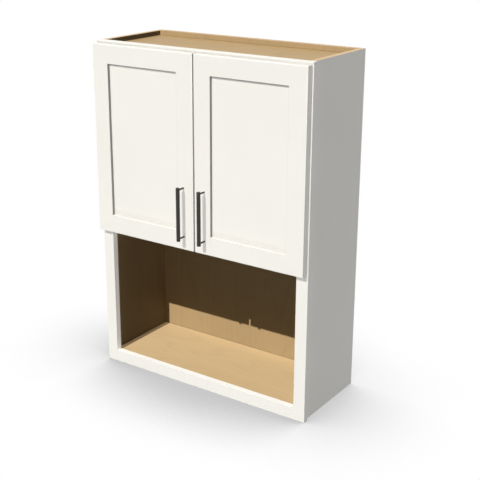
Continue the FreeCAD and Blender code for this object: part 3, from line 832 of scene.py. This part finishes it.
def plies(finish, settings, thickness, low, high):
    """Bare plies, light and dark in turn through a board's thickness."""
    color = settings.ply_color
    count = max(FEWEST_PLIES, round((high - low) / PLY_THICKNESS))
    depth = finish.sums("SUBTRACT", finish.axis(thickness), low)
    layer = finish.sums("MULTIPLY", depth, count / (high - low))
    turn = finish.between(finish.sums("PINGPONG", layer, 1.0), *PLY_FADE)
    rough = finish.noise(finish.place, detail=4.0, scale=PLY_FIBRES)
    wood = finish.mix(turn, shade(color, 1.0), shade(color, PLY_TINT))
    pits = finish.between(rough, *PIT_FADE, 0.0, PIT_WEIGHT)
    return finish.mix(pits, wood, shade(color, PIT_TINT))


def on_faces(finish, thickness, low, high):
    """1 on a board's two broad faces and 0 on its edges."""
    place = finish.axis(thickness)
    below = finish.sums("LESS_THAN", place, low + SKIN)
    above = finish.sums("GREATER_THAN", place, high - SKIN)
    return finish.sums("MAXIMUM", below, above)


def plywood(node, settings):
    """Clear-coated maple plywood for one board, with its plies on the edges."""
    color_name, grain, thickness = PLYWOOD[node]
    index = "XYZ".index(thickness)
    low, high = (corner[index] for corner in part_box(node))
    finish = Finish(f"{node}_maple")
    color = getattr(settings, color_name)
    wood, relief = veneer(finish, color, grain, BOARD_STEP * list(PLYWOOD).index(node))
    if node != "adjustable_shelf":
        edge = plies(finish, settings, thickness, low, high)
        if color_name == "wall_color":
            edge = finish.mix(EDGE_BLEND, edge, wood)
        wood = finish.mix(on_faces(finish, thickness, low, high), edge, wood)
    # A dark joint line with painted shade where these panels meet the back.
    if node in ("bottom_panel", "top_panel", "back_panel"):
        wood = finish.mix(board_shade(finish, settings), wood, shade(color, JOINT_SHADE_TINT))
    if thickness == "Z":
        wood = finish.dimmed(wood, settings.board_glow)
    finish.surface(
        Base_Color=wood,
        Roughness=finish.between(relief, *WIDE, *VENEER_ROUGHNESS),
        Specular_IOR_Level=VENEER_SHINE,
        Normal=finish.bump(relief, VENEER_RELIEF),
    )
    return finish.material


def painted_side_shade(finish, settings):
    """Painted shade on the sides' veneer, low in the niche and above the top panel."""
    up = finish.axis("Z")
    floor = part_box("bottom_panel")[1].z
    low = finish.between(up, floor, floor + settings.side_shade_reach, 1.0, 0.0)
    high = finish.sums("GREATER_THAN", up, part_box("top_panel")[1].z)
    return finish.sums("MULTIPLY", finish.sums("MAXIMUM", low, high), settings.side_shade)


def side_board(side, settings):
    """A side panel: paint outside, maple inside and plies on the edges."""
    low, high = (corner.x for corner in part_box(f"{side}_side_panel"))
    outer, inner = (high, low) if side == "right" else (low, high)
    finish = Finish(f"{side}_side_panel_finish")
    start = SIDE_START + SIDE_STEP * SIDES.index(side)
    wood, relief = veneer(finish, settings.side_color, "Z", start)
    # Painted shade low in the niche and above the top panel.
    wood = finish.mix(painted_side_shade(finish, settings), wood, shade(settings.side_color, SIDE_SHADE_TINT))
    coat, peel = paint_coat(finish, settings.paint_color, "Z")
    place = finish.axis("X")
    outside = finish.sums("COMPARE", place, outer)
    inside = finish.sums("COMPARE", place, inner)
    for mask in (outside, inside):
        mask.node.inputs[2].default_value = SKIN
    edge = plies(finish, settings, "X", low, high)
    surface = finish.mix(outside, finish.mix(inside, edge, wood), coat)
    relief = finish.sums("ADD", relief, finish.sums("MULTIPLY", outside, peel))
    finish.surface(
        Base_Color=surface,
        Roughness=finish.between(
            outside, 0.0, 1.0, BARE_WOOD_ROUGHNESS, settings.paint_roughness
        ),
        Specular_IOR_Level=VENEER_SHINE,
        Normal=finish.bump(relief, PAINT_RELIEF),
    )
    return finish.material


def dark_coating(settings):
    """Satin dark coating of the handles, with a fine grain."""
    finish = Finish("dark_handle_coating")
    grain = finish.noise(finish.place, detail=3.0, scale=COATING_GRAIN)
    tints = (shade(settings.handle_color, tint) for tint in COATING_TINTS)
    finish.surface(
        Base_Color=finish.mix(grain, *tints),
        Roughness=finish.between(grain, *MIDDLE, *COATING_ROUGHNESS),
        Specular_IOR_Level=COATING_SHINE,
        Normal=finish.bump(grain, COATING_RELIEF),
    )
    return finish.material


def nickel(settings):
    """Nickel-plated steel with fine rolling marks."""
    finish = Finish("nickel_plated_steel")
    marks = finish.noise(finish.stretched("Z", *ROLLING_MARKS), detail=2.0)
    stain = finish.noise(finish.place, detail=3.0, scale=STEEL_STAINS)
    color = settings.steel_color
    finish.surface(
        Base_Color=finish.mix(stain, shade(color, 1.0), shade(color, STAIN_TINT)),
        Metallic=1.0,
        Roughness=finish.between(marks, *WIDE, *STEEL_ROUGHNESS),
        Normal=finish.bump(marks, STEEL_RELIEF),
    )
    return finish.material


def beech(settings):
    """Plain dowel wood, its fibres along the dowel."""
    finish = Finish("beech_dowel")
    wood, relief = veneer(finish, settings.ply_color, "X", DOWEL_START)
    finish.surface(
        Base_Color=wood,
        Roughness=DOWEL_ROUGHNESS,
        Normal=finish.bump(relief, DOWEL_RELIEF),
    )
    return finish.material


def clear_rubber():
    """Clear soft plastic of the door bumpers."""
    finish = Finish("clear_bumper")
    haze = finish.noise(finish.place, detail=2.0, scale=BUMPER_HAZE)
    finish.surface(
        Base_Color=finish.mix(haze, *BUMPER_COLORS),
        Roughness=finish.between(haze, *MIDDLE, *BUMPER_ROUGHNESS),
        Transmission_Weight=BUMPER_CLEARNESS,
    )
    return finish.material


def coat_node(name, material):
    """Give a solid of the frame its finish."""
    slots = frame["nodes"][name].material_slots
    if not slots:
        raise RuntimeError(f"{name} has no material slot")
    for slot in slots:
        slot.material = material


def sand_edges(name, width):
    """Round a solid's sharp edges a little, on top of its own mesh."""
    node = frame["nodes"][name]
    weld = node.modifiers.new("weld", "WELD")
    weld.merge_threshold = WELD
    flat = node.modifiers.new("flat faces", "DECIMATE")
    flat.decimate_type = "DISSOLVE"
    flat.angle_limit = FLAT_ANGLE
    edge = node.modifiers.new("sanded edges", "BEVEL")
    edge.width = width
    edge.segments = 2
    edge.limit_method = "ANGLE"
    edge.angle_limit = SANDED_ANGLE
    edge.use_clamp_overlap = True
    edge.harden_normals = True


# Shapes.
def solids(*names):
    """The frame's solids with these names."""
    return [frame["nodes"][name] for name in names]


def solid_boxes(name):
    """Lowest and highest corner of each separate solid of a node."""
    shape = bmesh.new()
    shape.from_mesh(frame["nodes"][name].data)
    bmesh.ops.remove_doubles(shape, verts=shape.verts, dist=MERGE)
    left = set(shape.verts)
    boxes = []
    while left:
        reached = [left.pop()]
        for vert in reached:
            for edge in vert.link_edges:
                other = edge.other_vert(vert)
                if other in left:
                    left.remove(other)
                    reached.append(other)
        places = [vert.co for vert in reached]
        low = Vector([min(place[i] for place in places) for i in range(3)])
        high = Vector([max(place[i] for place in places) for i in range(3)])
        boxes.append((low, high))
    shape.free()
    return sorted(boxes, key=lambda box: tuple(box[0]))


def arc(centre, radius, start, end, steps):
    """Points of an arc of an outline, from one angle to another."""
    angles = (math.radians(start + (end - start) * i / steps) for i in range(steps + 1))
    return [(centre[0] + radius * math.cos(a), centre[1] + radius * math.sin(a)) for a in angles]


def spun(outline, place, steps):
    """A mesh spun from (radius, height) points round the Z axis, then moved into place."""
    shape = bmesh.new()
    verts = [shape.verts.new((radius, 0, height)) for radius, height in outline]
    edges = [shape.edges.new(pair) for pair in zip(verts, verts[1:])]
    bmesh.ops.spin(
        shape,
        geom=verts + edges,
        cent=(0, 0, 0),
        axis=(0, 0, 1),
        angle=math.tau,
        steps=steps,
        use_merge=True,
    )
    bmesh.ops.remove_doubles(shape, verts=shape.verts, dist=MERGE)
    bmesh.ops.recalc_face_normals(shape, faces=shape.faces)
    shape.transform(place)
    mesh = bpy.data.meshes.new("spun")
    shape.to_mesh(mesh)
    shape.free()
    return mesh


def facing(place, direction):
    """A matrix that stands a shape's Z axis along a direction, at a place."""
    turn = Vector(direction).to_track_quat("Z", "Y").to_matrix().to_4x4()
    return Matrix.Translation(place) @ turn


def wedge(length, width, depth, turn):
    """A tapered blade that cuts one arm of a cross recess, pointing down."""
    shape = bmesh.new()
    bmesh.ops.create_cube(shape, size=1.0)
    bmesh.ops.scale(shape, vec=(length, width, 2 * depth), verts=shape.verts)
    tips = [vert for vert in shape.verts if vert.co.z < 0]
    bmesh.ops.scale(shape, vec=RECESS_TAPER, verts=tips)
    shape.transform(Matrix.Rotation(turn, 4, "Z"))
    mesh = bpy.data.meshes.new("wedge")
    shape.to_mesh(mesh)
    shape.free()
    return mesh


def carved(mesh, tools):
    """A mesh less its cutting tools."""
    collection = bpy.context.scene.collection
    blank = bpy.data.objects.new("blank", mesh)
    cutters = [bpy.data.objects.new("cutter", tool) for tool in tools]
    for item in [blank, *cutters]:
        collection.objects.link(item)
    for cutter in cutters:
        cut = blank.modifiers.new("cut", "BOOLEAN")
        cut.operation = "DIFFERENCE"
        cut.solver = "EXACT"
        cut.object = cutter
    scene_state = bpy.context.evaluated_depsgraph_get()
    result = bpy.data.meshes.new_from_object(blank.evaluated_get(scene_state))
    for item in [blank, *cutters]:
        bpy.data.objects.remove(item)
    return result


def screw(head_radius, head_height, shank_radius, length, settings):
    """A screw along Z with a domed head above 0, a cross recess and a pointed shank."""
    dome = (head_radius ** 2 + head_height ** 2) / (2 * head_height)
    sweep = math.degrees(math.asin(head_radius / dome))
    crown = arc((0, head_height - dome), dome, 90 - sweep, 90, steps=8)
    point = POINT_LENGTH * shank_radius
    outline = [(0, -length), (shank_radius, point - length), (shank_radius, 0), *crown]
    blank = spun(outline, Matrix.Identity(4), steps=32)
    reach = 2 * head_radius * settings.recess_share
    depth = RECESS_DEPTH * head_height
    blades = [wedge(reach, settings.recess_width, depth, turn) for turn in (0, math.pi / 2)]
    for blade in blades:
        blade.transform(Matrix.Translation((0, 0, head_height)))
    return carved(blank, blades)


def piece(name, meshes, body, material, slot, *nodes):
    """One visible piece from several meshes, on a body, in place of the frame's nodes."""
    shape = bmesh.new()
    for mesh in meshes:
        shape.from_mesh(mesh)
    mesh = bpy.data.meshes.new(name)
    shape.to_mesh(mesh)
    shape.free()
    mesh.materials.append(material)
    mesh.shade_smooth()
    mesh.set_sharp_from_angle(angle=SHARP_ANGLE)
    made = bpy.data.objects.new(name, mesh)
    bpy.context.scene.collection.objects.link(made)
    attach(made, body)
    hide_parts(*nodes)


# Operators.
class CABINET_OT_paint_boards(bpy.types.Operator):
    """Paint the face frame and the doors"""

    bl_idname = "cabinet.paint_boards"
    bl_label = "Paint Frame and Doors"

    def execute(self, context):
        settings = context.scene.cabinet_finishes
        upright = painted("white_paint_upright", settings, "Z")
        recessed = painted("white_paint_recessed", settings, "Z", recess=True)
        level = painted("white_paint_level", settings, "X")
        recessed_level = painted("white_paint_recessed_level", settings, "X", recess=True)
        for name in UPRIGHT_PAINTED:
            coat_node(name, recessed if "door" in name else upright)
        for name in LEVEL_PAINTED:
            coat_node(name, recessed_level if "door" in name else level)
        for name in UPRIGHT_PAINTED + LEVEL_PAINTED:
            sand_edges(name, context.scene.cabinet_hardware.board_edge)
        return {"FINISHED"}


class CABINET_OT_lay_plywood(bpy.types.Operator):
    """Give the plywood boards their veneer and the side panels their paint"""

    bl_idname = "cabinet.lay_plywood"
    bl_label = "Finish Plywood"

    def execute(self, context):
        settings = context.scene.cabinet_finishes
        for name in PLYWOOD:
            coat_node(name, plywood(name, settings))
        for side in SIDES:
            coat_node(f"{side}_side_panel", side_board(side, settings))
        coat_node("frame_dowels", beech(settings))
        return {"FINISHED"}


class CABINET_OT_finish_hinges(bpy.types.Operator):
    """Plate the hinges and the shelf pins"""

    bl_idname = "cabinet.finish_hinges"
    bl_label = "Finish Hinges"

    def execute(self, context):
        steel = nickel(context.scene.cabinet_finishes)
        names = ["shelf_pins"]
        for side in SIDES:
            names += [f"{side}_hinge_pins", f"{side}_hinge_springs"]
            names += [f"{side}_{hinge}_hinge_{part}" for hinge in HINGES for part in ("cup", "arm")]
        for name in names:
            coat_node(name, steel)
        return {"FINISHED"}


class CABINET_OT_make_screws(bpy.types.Operator):
    """Make the screws of the hinges and of the handles"""

    bl_idname = "cabinet.make_screws"
    bl_label = "Make Screws"

    # Body that carries the screws, way that the heads face on the right side, height of
    # a head and radius of a shank.
    KINDS = {
        "hinge_cup_screws": ("door", (0, 1, 0), 1.2 * MM, 1.75 * MM),
        "hinge_arm_screws": ("case", (-1, 0, 0), 2.0 * MM, 1.75 * MM),
        "handle_screws": ("door", (0, 1, 0), 2.2 * MM, 1.6 * MM),
    }

    def execute(self, context):
        settings = context.scene.cabinet_hardware
        steel = bpy.data.materials["nickel_plated_steel"]
        for side in SIDES:
            for kind, (carrier, way, head_height, shank_radius) in self.KINDS.items():
                way = Vector(way)
                if side == "left" and way.x:
                    way = -way
                node = f"{side}_{kind}"
                screws = []
                for low, high in solid_boxes(node):
                    middle, half = (low + high) / 2, (high - low) / 2
                    along = max(half)
                    seat = middle + way * (along - head_height)
                    length = 2 * along - head_height
                    shape = screw(min(half), head_height, shank_radius, length, settings)
                    shape.transform(facing(seat, way))
                    screws.append(shape)
                body = "case" if carrier == "case" else f"{side}_door"
                piece(f"{side}_{kind}_recessed", screws, body, steel, "hinge_steel", node)
        return {"FINISHED"}


class CABINET_OT_make_handles(bpy.types.Operator):
    """Make the handle bars and their posts"""

    bl_idname = "cabinet.make_handles"
    bl_label = "Make Handles"

    def execute(self, context):
        settings = context.scene.cabinet_hardware
        coating = dark_coating(context.scene.cabinet_finishes)
        for side in SIDES:
            low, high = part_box(f"{side}_handle_bar")
            radius = (high.x - low.x) / 2
            length = high.z - low.z
            edge = settings.bar_edge
            foot = arc((radius - edge, edge), edge, -90, 0, steps=4)
            head = arc((radius - edge, length - edge), edge, 0, 90, steps=4)
            outline = [(0, 0), *foot, *head, (0, length)]
            middle = (low + high) / 2
            bar = spun(outline, Matrix.Translation((middle.x, middle.y, low.z)), steps=64)
            body = f"{side}_door"
            piece(f"{side}_handle_rod", [bar], body, coating, "dark_handle", f"{side}_handle_bar")
            posts = []
            node = f"{side}_handle_posts"
            for low, high in solid_boxes(node):
                radius = (high.x - low.x) / 2
                length = high.y - low.y
                edge = settings.post_edge
                foot = arc((radius - edge, edge), edge, -90, 0, steps=3)
                middle = (low + high) / 2
                seat = Vector((middle.x, high.y, middle.z))
                outline = [(0, 0), *foot, (radius, length), (0, length)]
                posts.append(spun(outline, facing(seat, (0, -1, 0)), steps=40))
            piece(f"{side}_handle_legs", posts, body, coating, "dark_handle", node)
        return {"FINISHED"}


class CABINET_OT_make_bumpers(bpy.types.Operator):
    """Make the domed bumpers on the backs of the doors"""

    bl_idname = "cabinet.make_bumpers"
    bl_label = "Make Bumpers"

    def execute(self, context):
        rubber = clear_rubber()
        for side in SIDES:
            dots = []
            node = f"{side}_door_bumpers"
            for low, high in solid_boxes(node):
                radius = (high.x - low.x) / 2
                height = high.y - low.y
                rise = DOME_SHARE * height
                dome = (radius ** 2 + rise ** 2) / (2 * rise)
                sweep = math.degrees(math.asin(radius / dome))
                crown = arc((0, height - dome), dome, 90 - sweep, 90, steps=10)
                middle = (low + high) / 2
                seat = Vector((middle.x, low.y, middle.z))
                outline = [(0, 0), (radius, 0), *crown]
                dots.append(spun(outline, facing(seat, (0, 1, 0)), steps=40))
            piece(f"{side}_bumper_dots", dots, f"{side}_door", rubber, "bumper_rubber", node)
        return {"FINISHED"}


class CABINET_OT_set_stage(bpy.types.Operator):
    """Lay the floor and set the light and the camera"""

    bl_idname = "cabinet.set_stage"
    bl_label = "Set Stage"

    def execute(self, context):
        stage = context.scene.cabinet_stage
        self.lay_floor(context, stage)
        self.light_room(context, stage)
        self.hang_lamps(context, stage)
        self.set_camera(context, stage)
        context.scene.view_settings.view_transform = "Standard"
        return {"FINISHED"}

    def hang_lamps(self, context, stage):
        """Lamps for the painted front, for the niche's floor and for all the rest."""
        boards = solids(*UPRIGHT_PAINTED, *LEVEL_PAINTED)
        parts = [f"{side}_handle_{part}" for side in SIDES for part in ("rod", "legs")]
        handles = [bpy.data.objects[name] for name in parts]
        front = self.group("painted_front", "INCLUDE", boards + handles)
        deck = self.group("only_deck", "INCLUDE", solids("bottom_panel"))
        lit_apart = [*front.objects, *deck.objects]
        rest = self.group("all_but_front_and_deck", "EXCLUDE", lit_apart)
        stiles = solids(*(f"{side}_frame_stile" for side in SIDES))
        past_stiles = self.group("past_stiles", "EXCLUDE", stiles)
        by_handles = self.group("shaded_by_handles", "INCLUDE", handles)
        by_boards = self.group("shaded_by_boards", "INCLUDE", boards)
        right_of_panels = solids("left_door_meeting_stile", "right_door_hinge_stile")
        others = [board for board in boards if board not in right_of_panels]
        past_panels = self.group("shaded_but_in_recesses", "INCLUDE", others)
        by_back = self.group("shaded_by_back", "INCLUDE", solids("back_panel"))
        key = self.direction(0, stage.key_elevation)
        front_key = self.direction(0, stage.front_key_elevation)
        soft = self.direction(stage.fill_azimuth, stage.fill_elevation)
        edges = self.direction(stage.front_right_azimuth, stage.side_elevation)
        right = self.direction(math.pi / 2, stage.side_elevation)
        left = self.direction(-math.pi / 2, stage.side_elevation)
        rear = self.direction(math.pi, stage.side_elevation)
        from_right = self.direction(stage.inner_azimuth, 0)
        from_left = self.direction(-stage.inner_azimuth, 0)
        key_light = stage.key_level / -key.y
        plain_key_light = (1 - stage.soft_share) * key_light
        soft_key_light = stage.soft_share * key_light
        front_key_light = stage.front_key_level / -front_key.y
        fill_light = stage.front_fill_level / -soft.y
        edge_light = stage.front_right_level / edges.x
        inner_side = stage.inner_level * from_right.x
        narrow, wide, wider = stage.key_spread, stage.side_spread, stage.fill_spread
        for name, way, level, spread, color, lit, shading in (
            ("key", key, key_light, narrow, WARM, rest, None),
            ("deck_key", key, plain_key_light, narrow, WARM, deck, None),
            ("soft_deck_key", key, soft_key_light, narrow, WARM, deck, past_stiles),
            ("front_key", front_key, front_key_light, narrow, SOFT_WHITE, front, None),
            ("front_fill", soft, fill_light, wider, SOFT_WHITE, front, by_boards),
            ("top", Vector((0, 0, 1)), stage.top_level, wide, SOFT_WHITE, front, by_handles),
            ("front_right", edges, edge_light, wide, NEUTRAL, front, past_panels),
            ("right_side", right, stage.right_level - inner_side, wide, NEUTRAL, rest, None),
            ("front_left", left, stage.left_level, wide, NEUTRAL, front, by_boards),
            ("left_side", left, stage.left_level - inner_side, wide, NEUTRAL, rest, None),
            ("front_rear", rear, stage.back_level, wide, NEUTRAL, front, by_boards),
            ("rear", rear, stage.back_level, wide, NEUTRAL, rest, None),
            ("inner_left", from_right, stage.inner_level, wide, FROM_WOOD, rest, by_back),
            ("inner_right", from_left, stage.inner_level, wide, FROM_WOOD, rest, by_back),
        ):
            self.hang_lamp(context, name, way, level, spread, color, lit, shading)

    def direction(self, azimuth, elevation):
        """The way to a place in the sky: azimuth is to the right of straight in front."""
        flat = math.cos(elevation)
        return Vector((math.sin(azimuth) * flat, -math.cos(azimuth) * flat, math.sin(elevation)))

    def group(self, name, state, items):
        """A collection of what a lamp lights or is shaded by, or of what it leaves out."""
        group = bpy.data.collections.new(name)
        for item in items:
            group.objects.link(item)
        for member in group.collection_objects:
            member.light_linking.link_state = state
        return group

    def lay_floor(self, context, stage):
        """A white floor with a soft shadow round the cabinet's foot."""
        shape = bmesh.new()
        bmesh.ops.create_circle(shape, cap_ends=True, segments=96, radius=stage.floor_radius)
        bmesh.ops.translate(shape, vec=(0, 0, CAD_LOW.z - FLOOR_GAP), verts=shape.verts)
        mesh = bpy.data.meshes.new("floor")
        shape.to_mesh(mesh)
        shape.free()
        floor = bpy.data.objects.new("floor", mesh)
        context.scene.collection.objects.link(floor)
        mesh.materials.append(self.floor_finish(stage))
        floor.visible_diffuse = False
        floor.visible_shadow = False

    def floor_finish(self, stage):
        """White that darkens where the cabinet shuts out the sky."""
        finish = Finish("white_floor")
        finish.tree.nodes.remove(finish.shader)
        sky = finish.add("ShaderNodeAmbientOcclusion", samples=16)
        sky.inputs["Distance"].default_value = stage.shadow_reach
        lean = finish.add("ShaderNodeCombineXYZ")
        side_lean = SIDE_LEAN * stage.shadow_lean
        for name, value in (("X", side_lean), ("Y", stage.shadow_lean), ("Z", 1.0)):
            lean.inputs[name].default_value = value
        finish.feed(sky.inputs["Normal"], lean.outputs[0])
        level = finish.between(sky.outputs["AO"], *SHADOW_FADE, stage.shadow_level, 1.0)
        level.node.interpolation_type = "LINEAR"
        glow = finish.add("ShaderNodeEmission")
        finish.feed(glow.inputs["Color"], level)
        output = finish.tree.nodes["Material Output"]
        finish.feed(output.inputs["Surface"], glow.outputs[0])
        return finish.material

    def light_room(self, context, stage):
        """White behind the cabinet, and a weak even light on it."""
        world = bpy.data.worlds.new("room")
        context.scene.world = world
        world.use_nodes = True
        tree = world.node_tree
        room = tree.nodes["Background"]
        room.inputs["Color"].default_value = ROOM_COLOR
        room.inputs["Strength"].default_value = stage.room_level
        backdrop = tree.nodes.new("ShaderNodeBackground")
        backdrop.inputs["Color"].default_value = WHITE
        backdrop.inputs["Strength"].default_value = 1.0
        rays = tree.nodes.new("ShaderNodeLightPath")
        seen = rays.outputs["Is Camera Ray"]
        for name in ("Is Glossy Ray", "Is Transmission Ray"):
            either = tree.nodes.new("ShaderNodeMath")
            either.operation = "MAXIMUM"
            tree.links.new(seen, either.inputs[0])
            tree.links.new(rays.outputs[name], either.inputs[1])
            seen = either.outputs[0]
        choice = tree.nodes.new("ShaderNodeMixShader")
        tree.links.new(seen, choice.inputs[0])
        tree.links.new(room.outputs[0], choice.inputs[1])
        tree.links.new(backdrop.outputs[0], choice.inputs[2])
        tree.links.new(choice.outputs[0], tree.nodes["World Output"].inputs["Surface"])

    def hang_lamp(self, context, name, way, level, spread, color, lit, shading):
        """A far lamp: level is the light on a surface that faces it."""
        lamp = bpy.data.lights.new(name, "SUN")
        lamp.energy = level * math.pi
        lamp.angle = spread
        lamp.color = color
        holder = bpy.data.objects.new(name, lamp)
        holder.matrix_world = facing(CAD_HIGH + way, way)
        holder.light_linking.receiver_collection = lit
        holder.light_linking.blocker_collection = shading
        holder.visible_glossy = "key" in name
        context.scene.collection.objects.link(holder)

    def set_camera(self, context, stage):
        """The photograph's view."""
        way = self.direction(stage.view_azimuth, stage.view_elevation)
        lens = bpy.data.cameras.new("camera")
        lens.lens = stage.lens
        lens.shift_x, lens.shift_y = stage.frame_shift
        camera = bpy.data.objects.new("camera", lens)
        camera.location = VIEW_TARGET + way * stage.view_distance
        camera.rotation_euler = (-way).to_track_quat("-Z", "Y").to_euler()
        context.scene.collection.objects.link(camera)
        context.scene.camera = camera


class CABINET_PT_sidebar(bpy.types.Panel):
    """Settings and steps of the cabinet"""

    bl_idname = "CABINET_PT_sidebar"
    bl_label = "Wall Cabinet"
    bl_space_type = "VIEW_3D"
    bl_region_type = "UI"
    bl_category = "Cabinet"

    def draw(self, context):
        for name in SETTINGS:
            group = getattr(context.scene, name)
            box = self.layout.box()
            for setting in group.__annotations__:
                box.prop(group, setting)
        for operator in OPERATORS:
            self.layout.operator(operator.bl_idname)


OPERATORS = (
    CABINET_OT_paint_boards,
    CABINET_OT_lay_plywood,
    CABINET_OT_finish_hinges,
    CABINET_OT_make_screws,
    CABINET_OT_make_handles,
    CABINET_OT_make_bumpers,
    CABINET_OT_set_stage,
)
CLASSES = (*SETTINGS.values(), *OPERATORS, CABINET_PT_sidebar)


def register():
    for item in CLASSES:
        bpy.utils.register_class(item)
    for name, group in SETTINGS.items():
        setattr(bpy.types.Scene, name, bpy.props.PointerProperty(type=group))


def unregister():
    for name in SETTINGS:
        delattr(bpy.types.Scene, name)
    for item in reversed(CLASSES):
        bpy.utils.unregister_class(item)


def main():
    register()
    bpy.ops.cabinet.paint_boards()
    bpy.ops.cabinet.lay_plywood()
    bpy.ops.cabinet.finish_hinges()
    bpy.ops.cabinet.make_screws()
    bpy.ops.cabinet.make_handles()
    bpy.ops.cabinet.make_bumpers()
    bpy.ops.cabinet.set_stage()


if __name__ == "__main__":
    main()
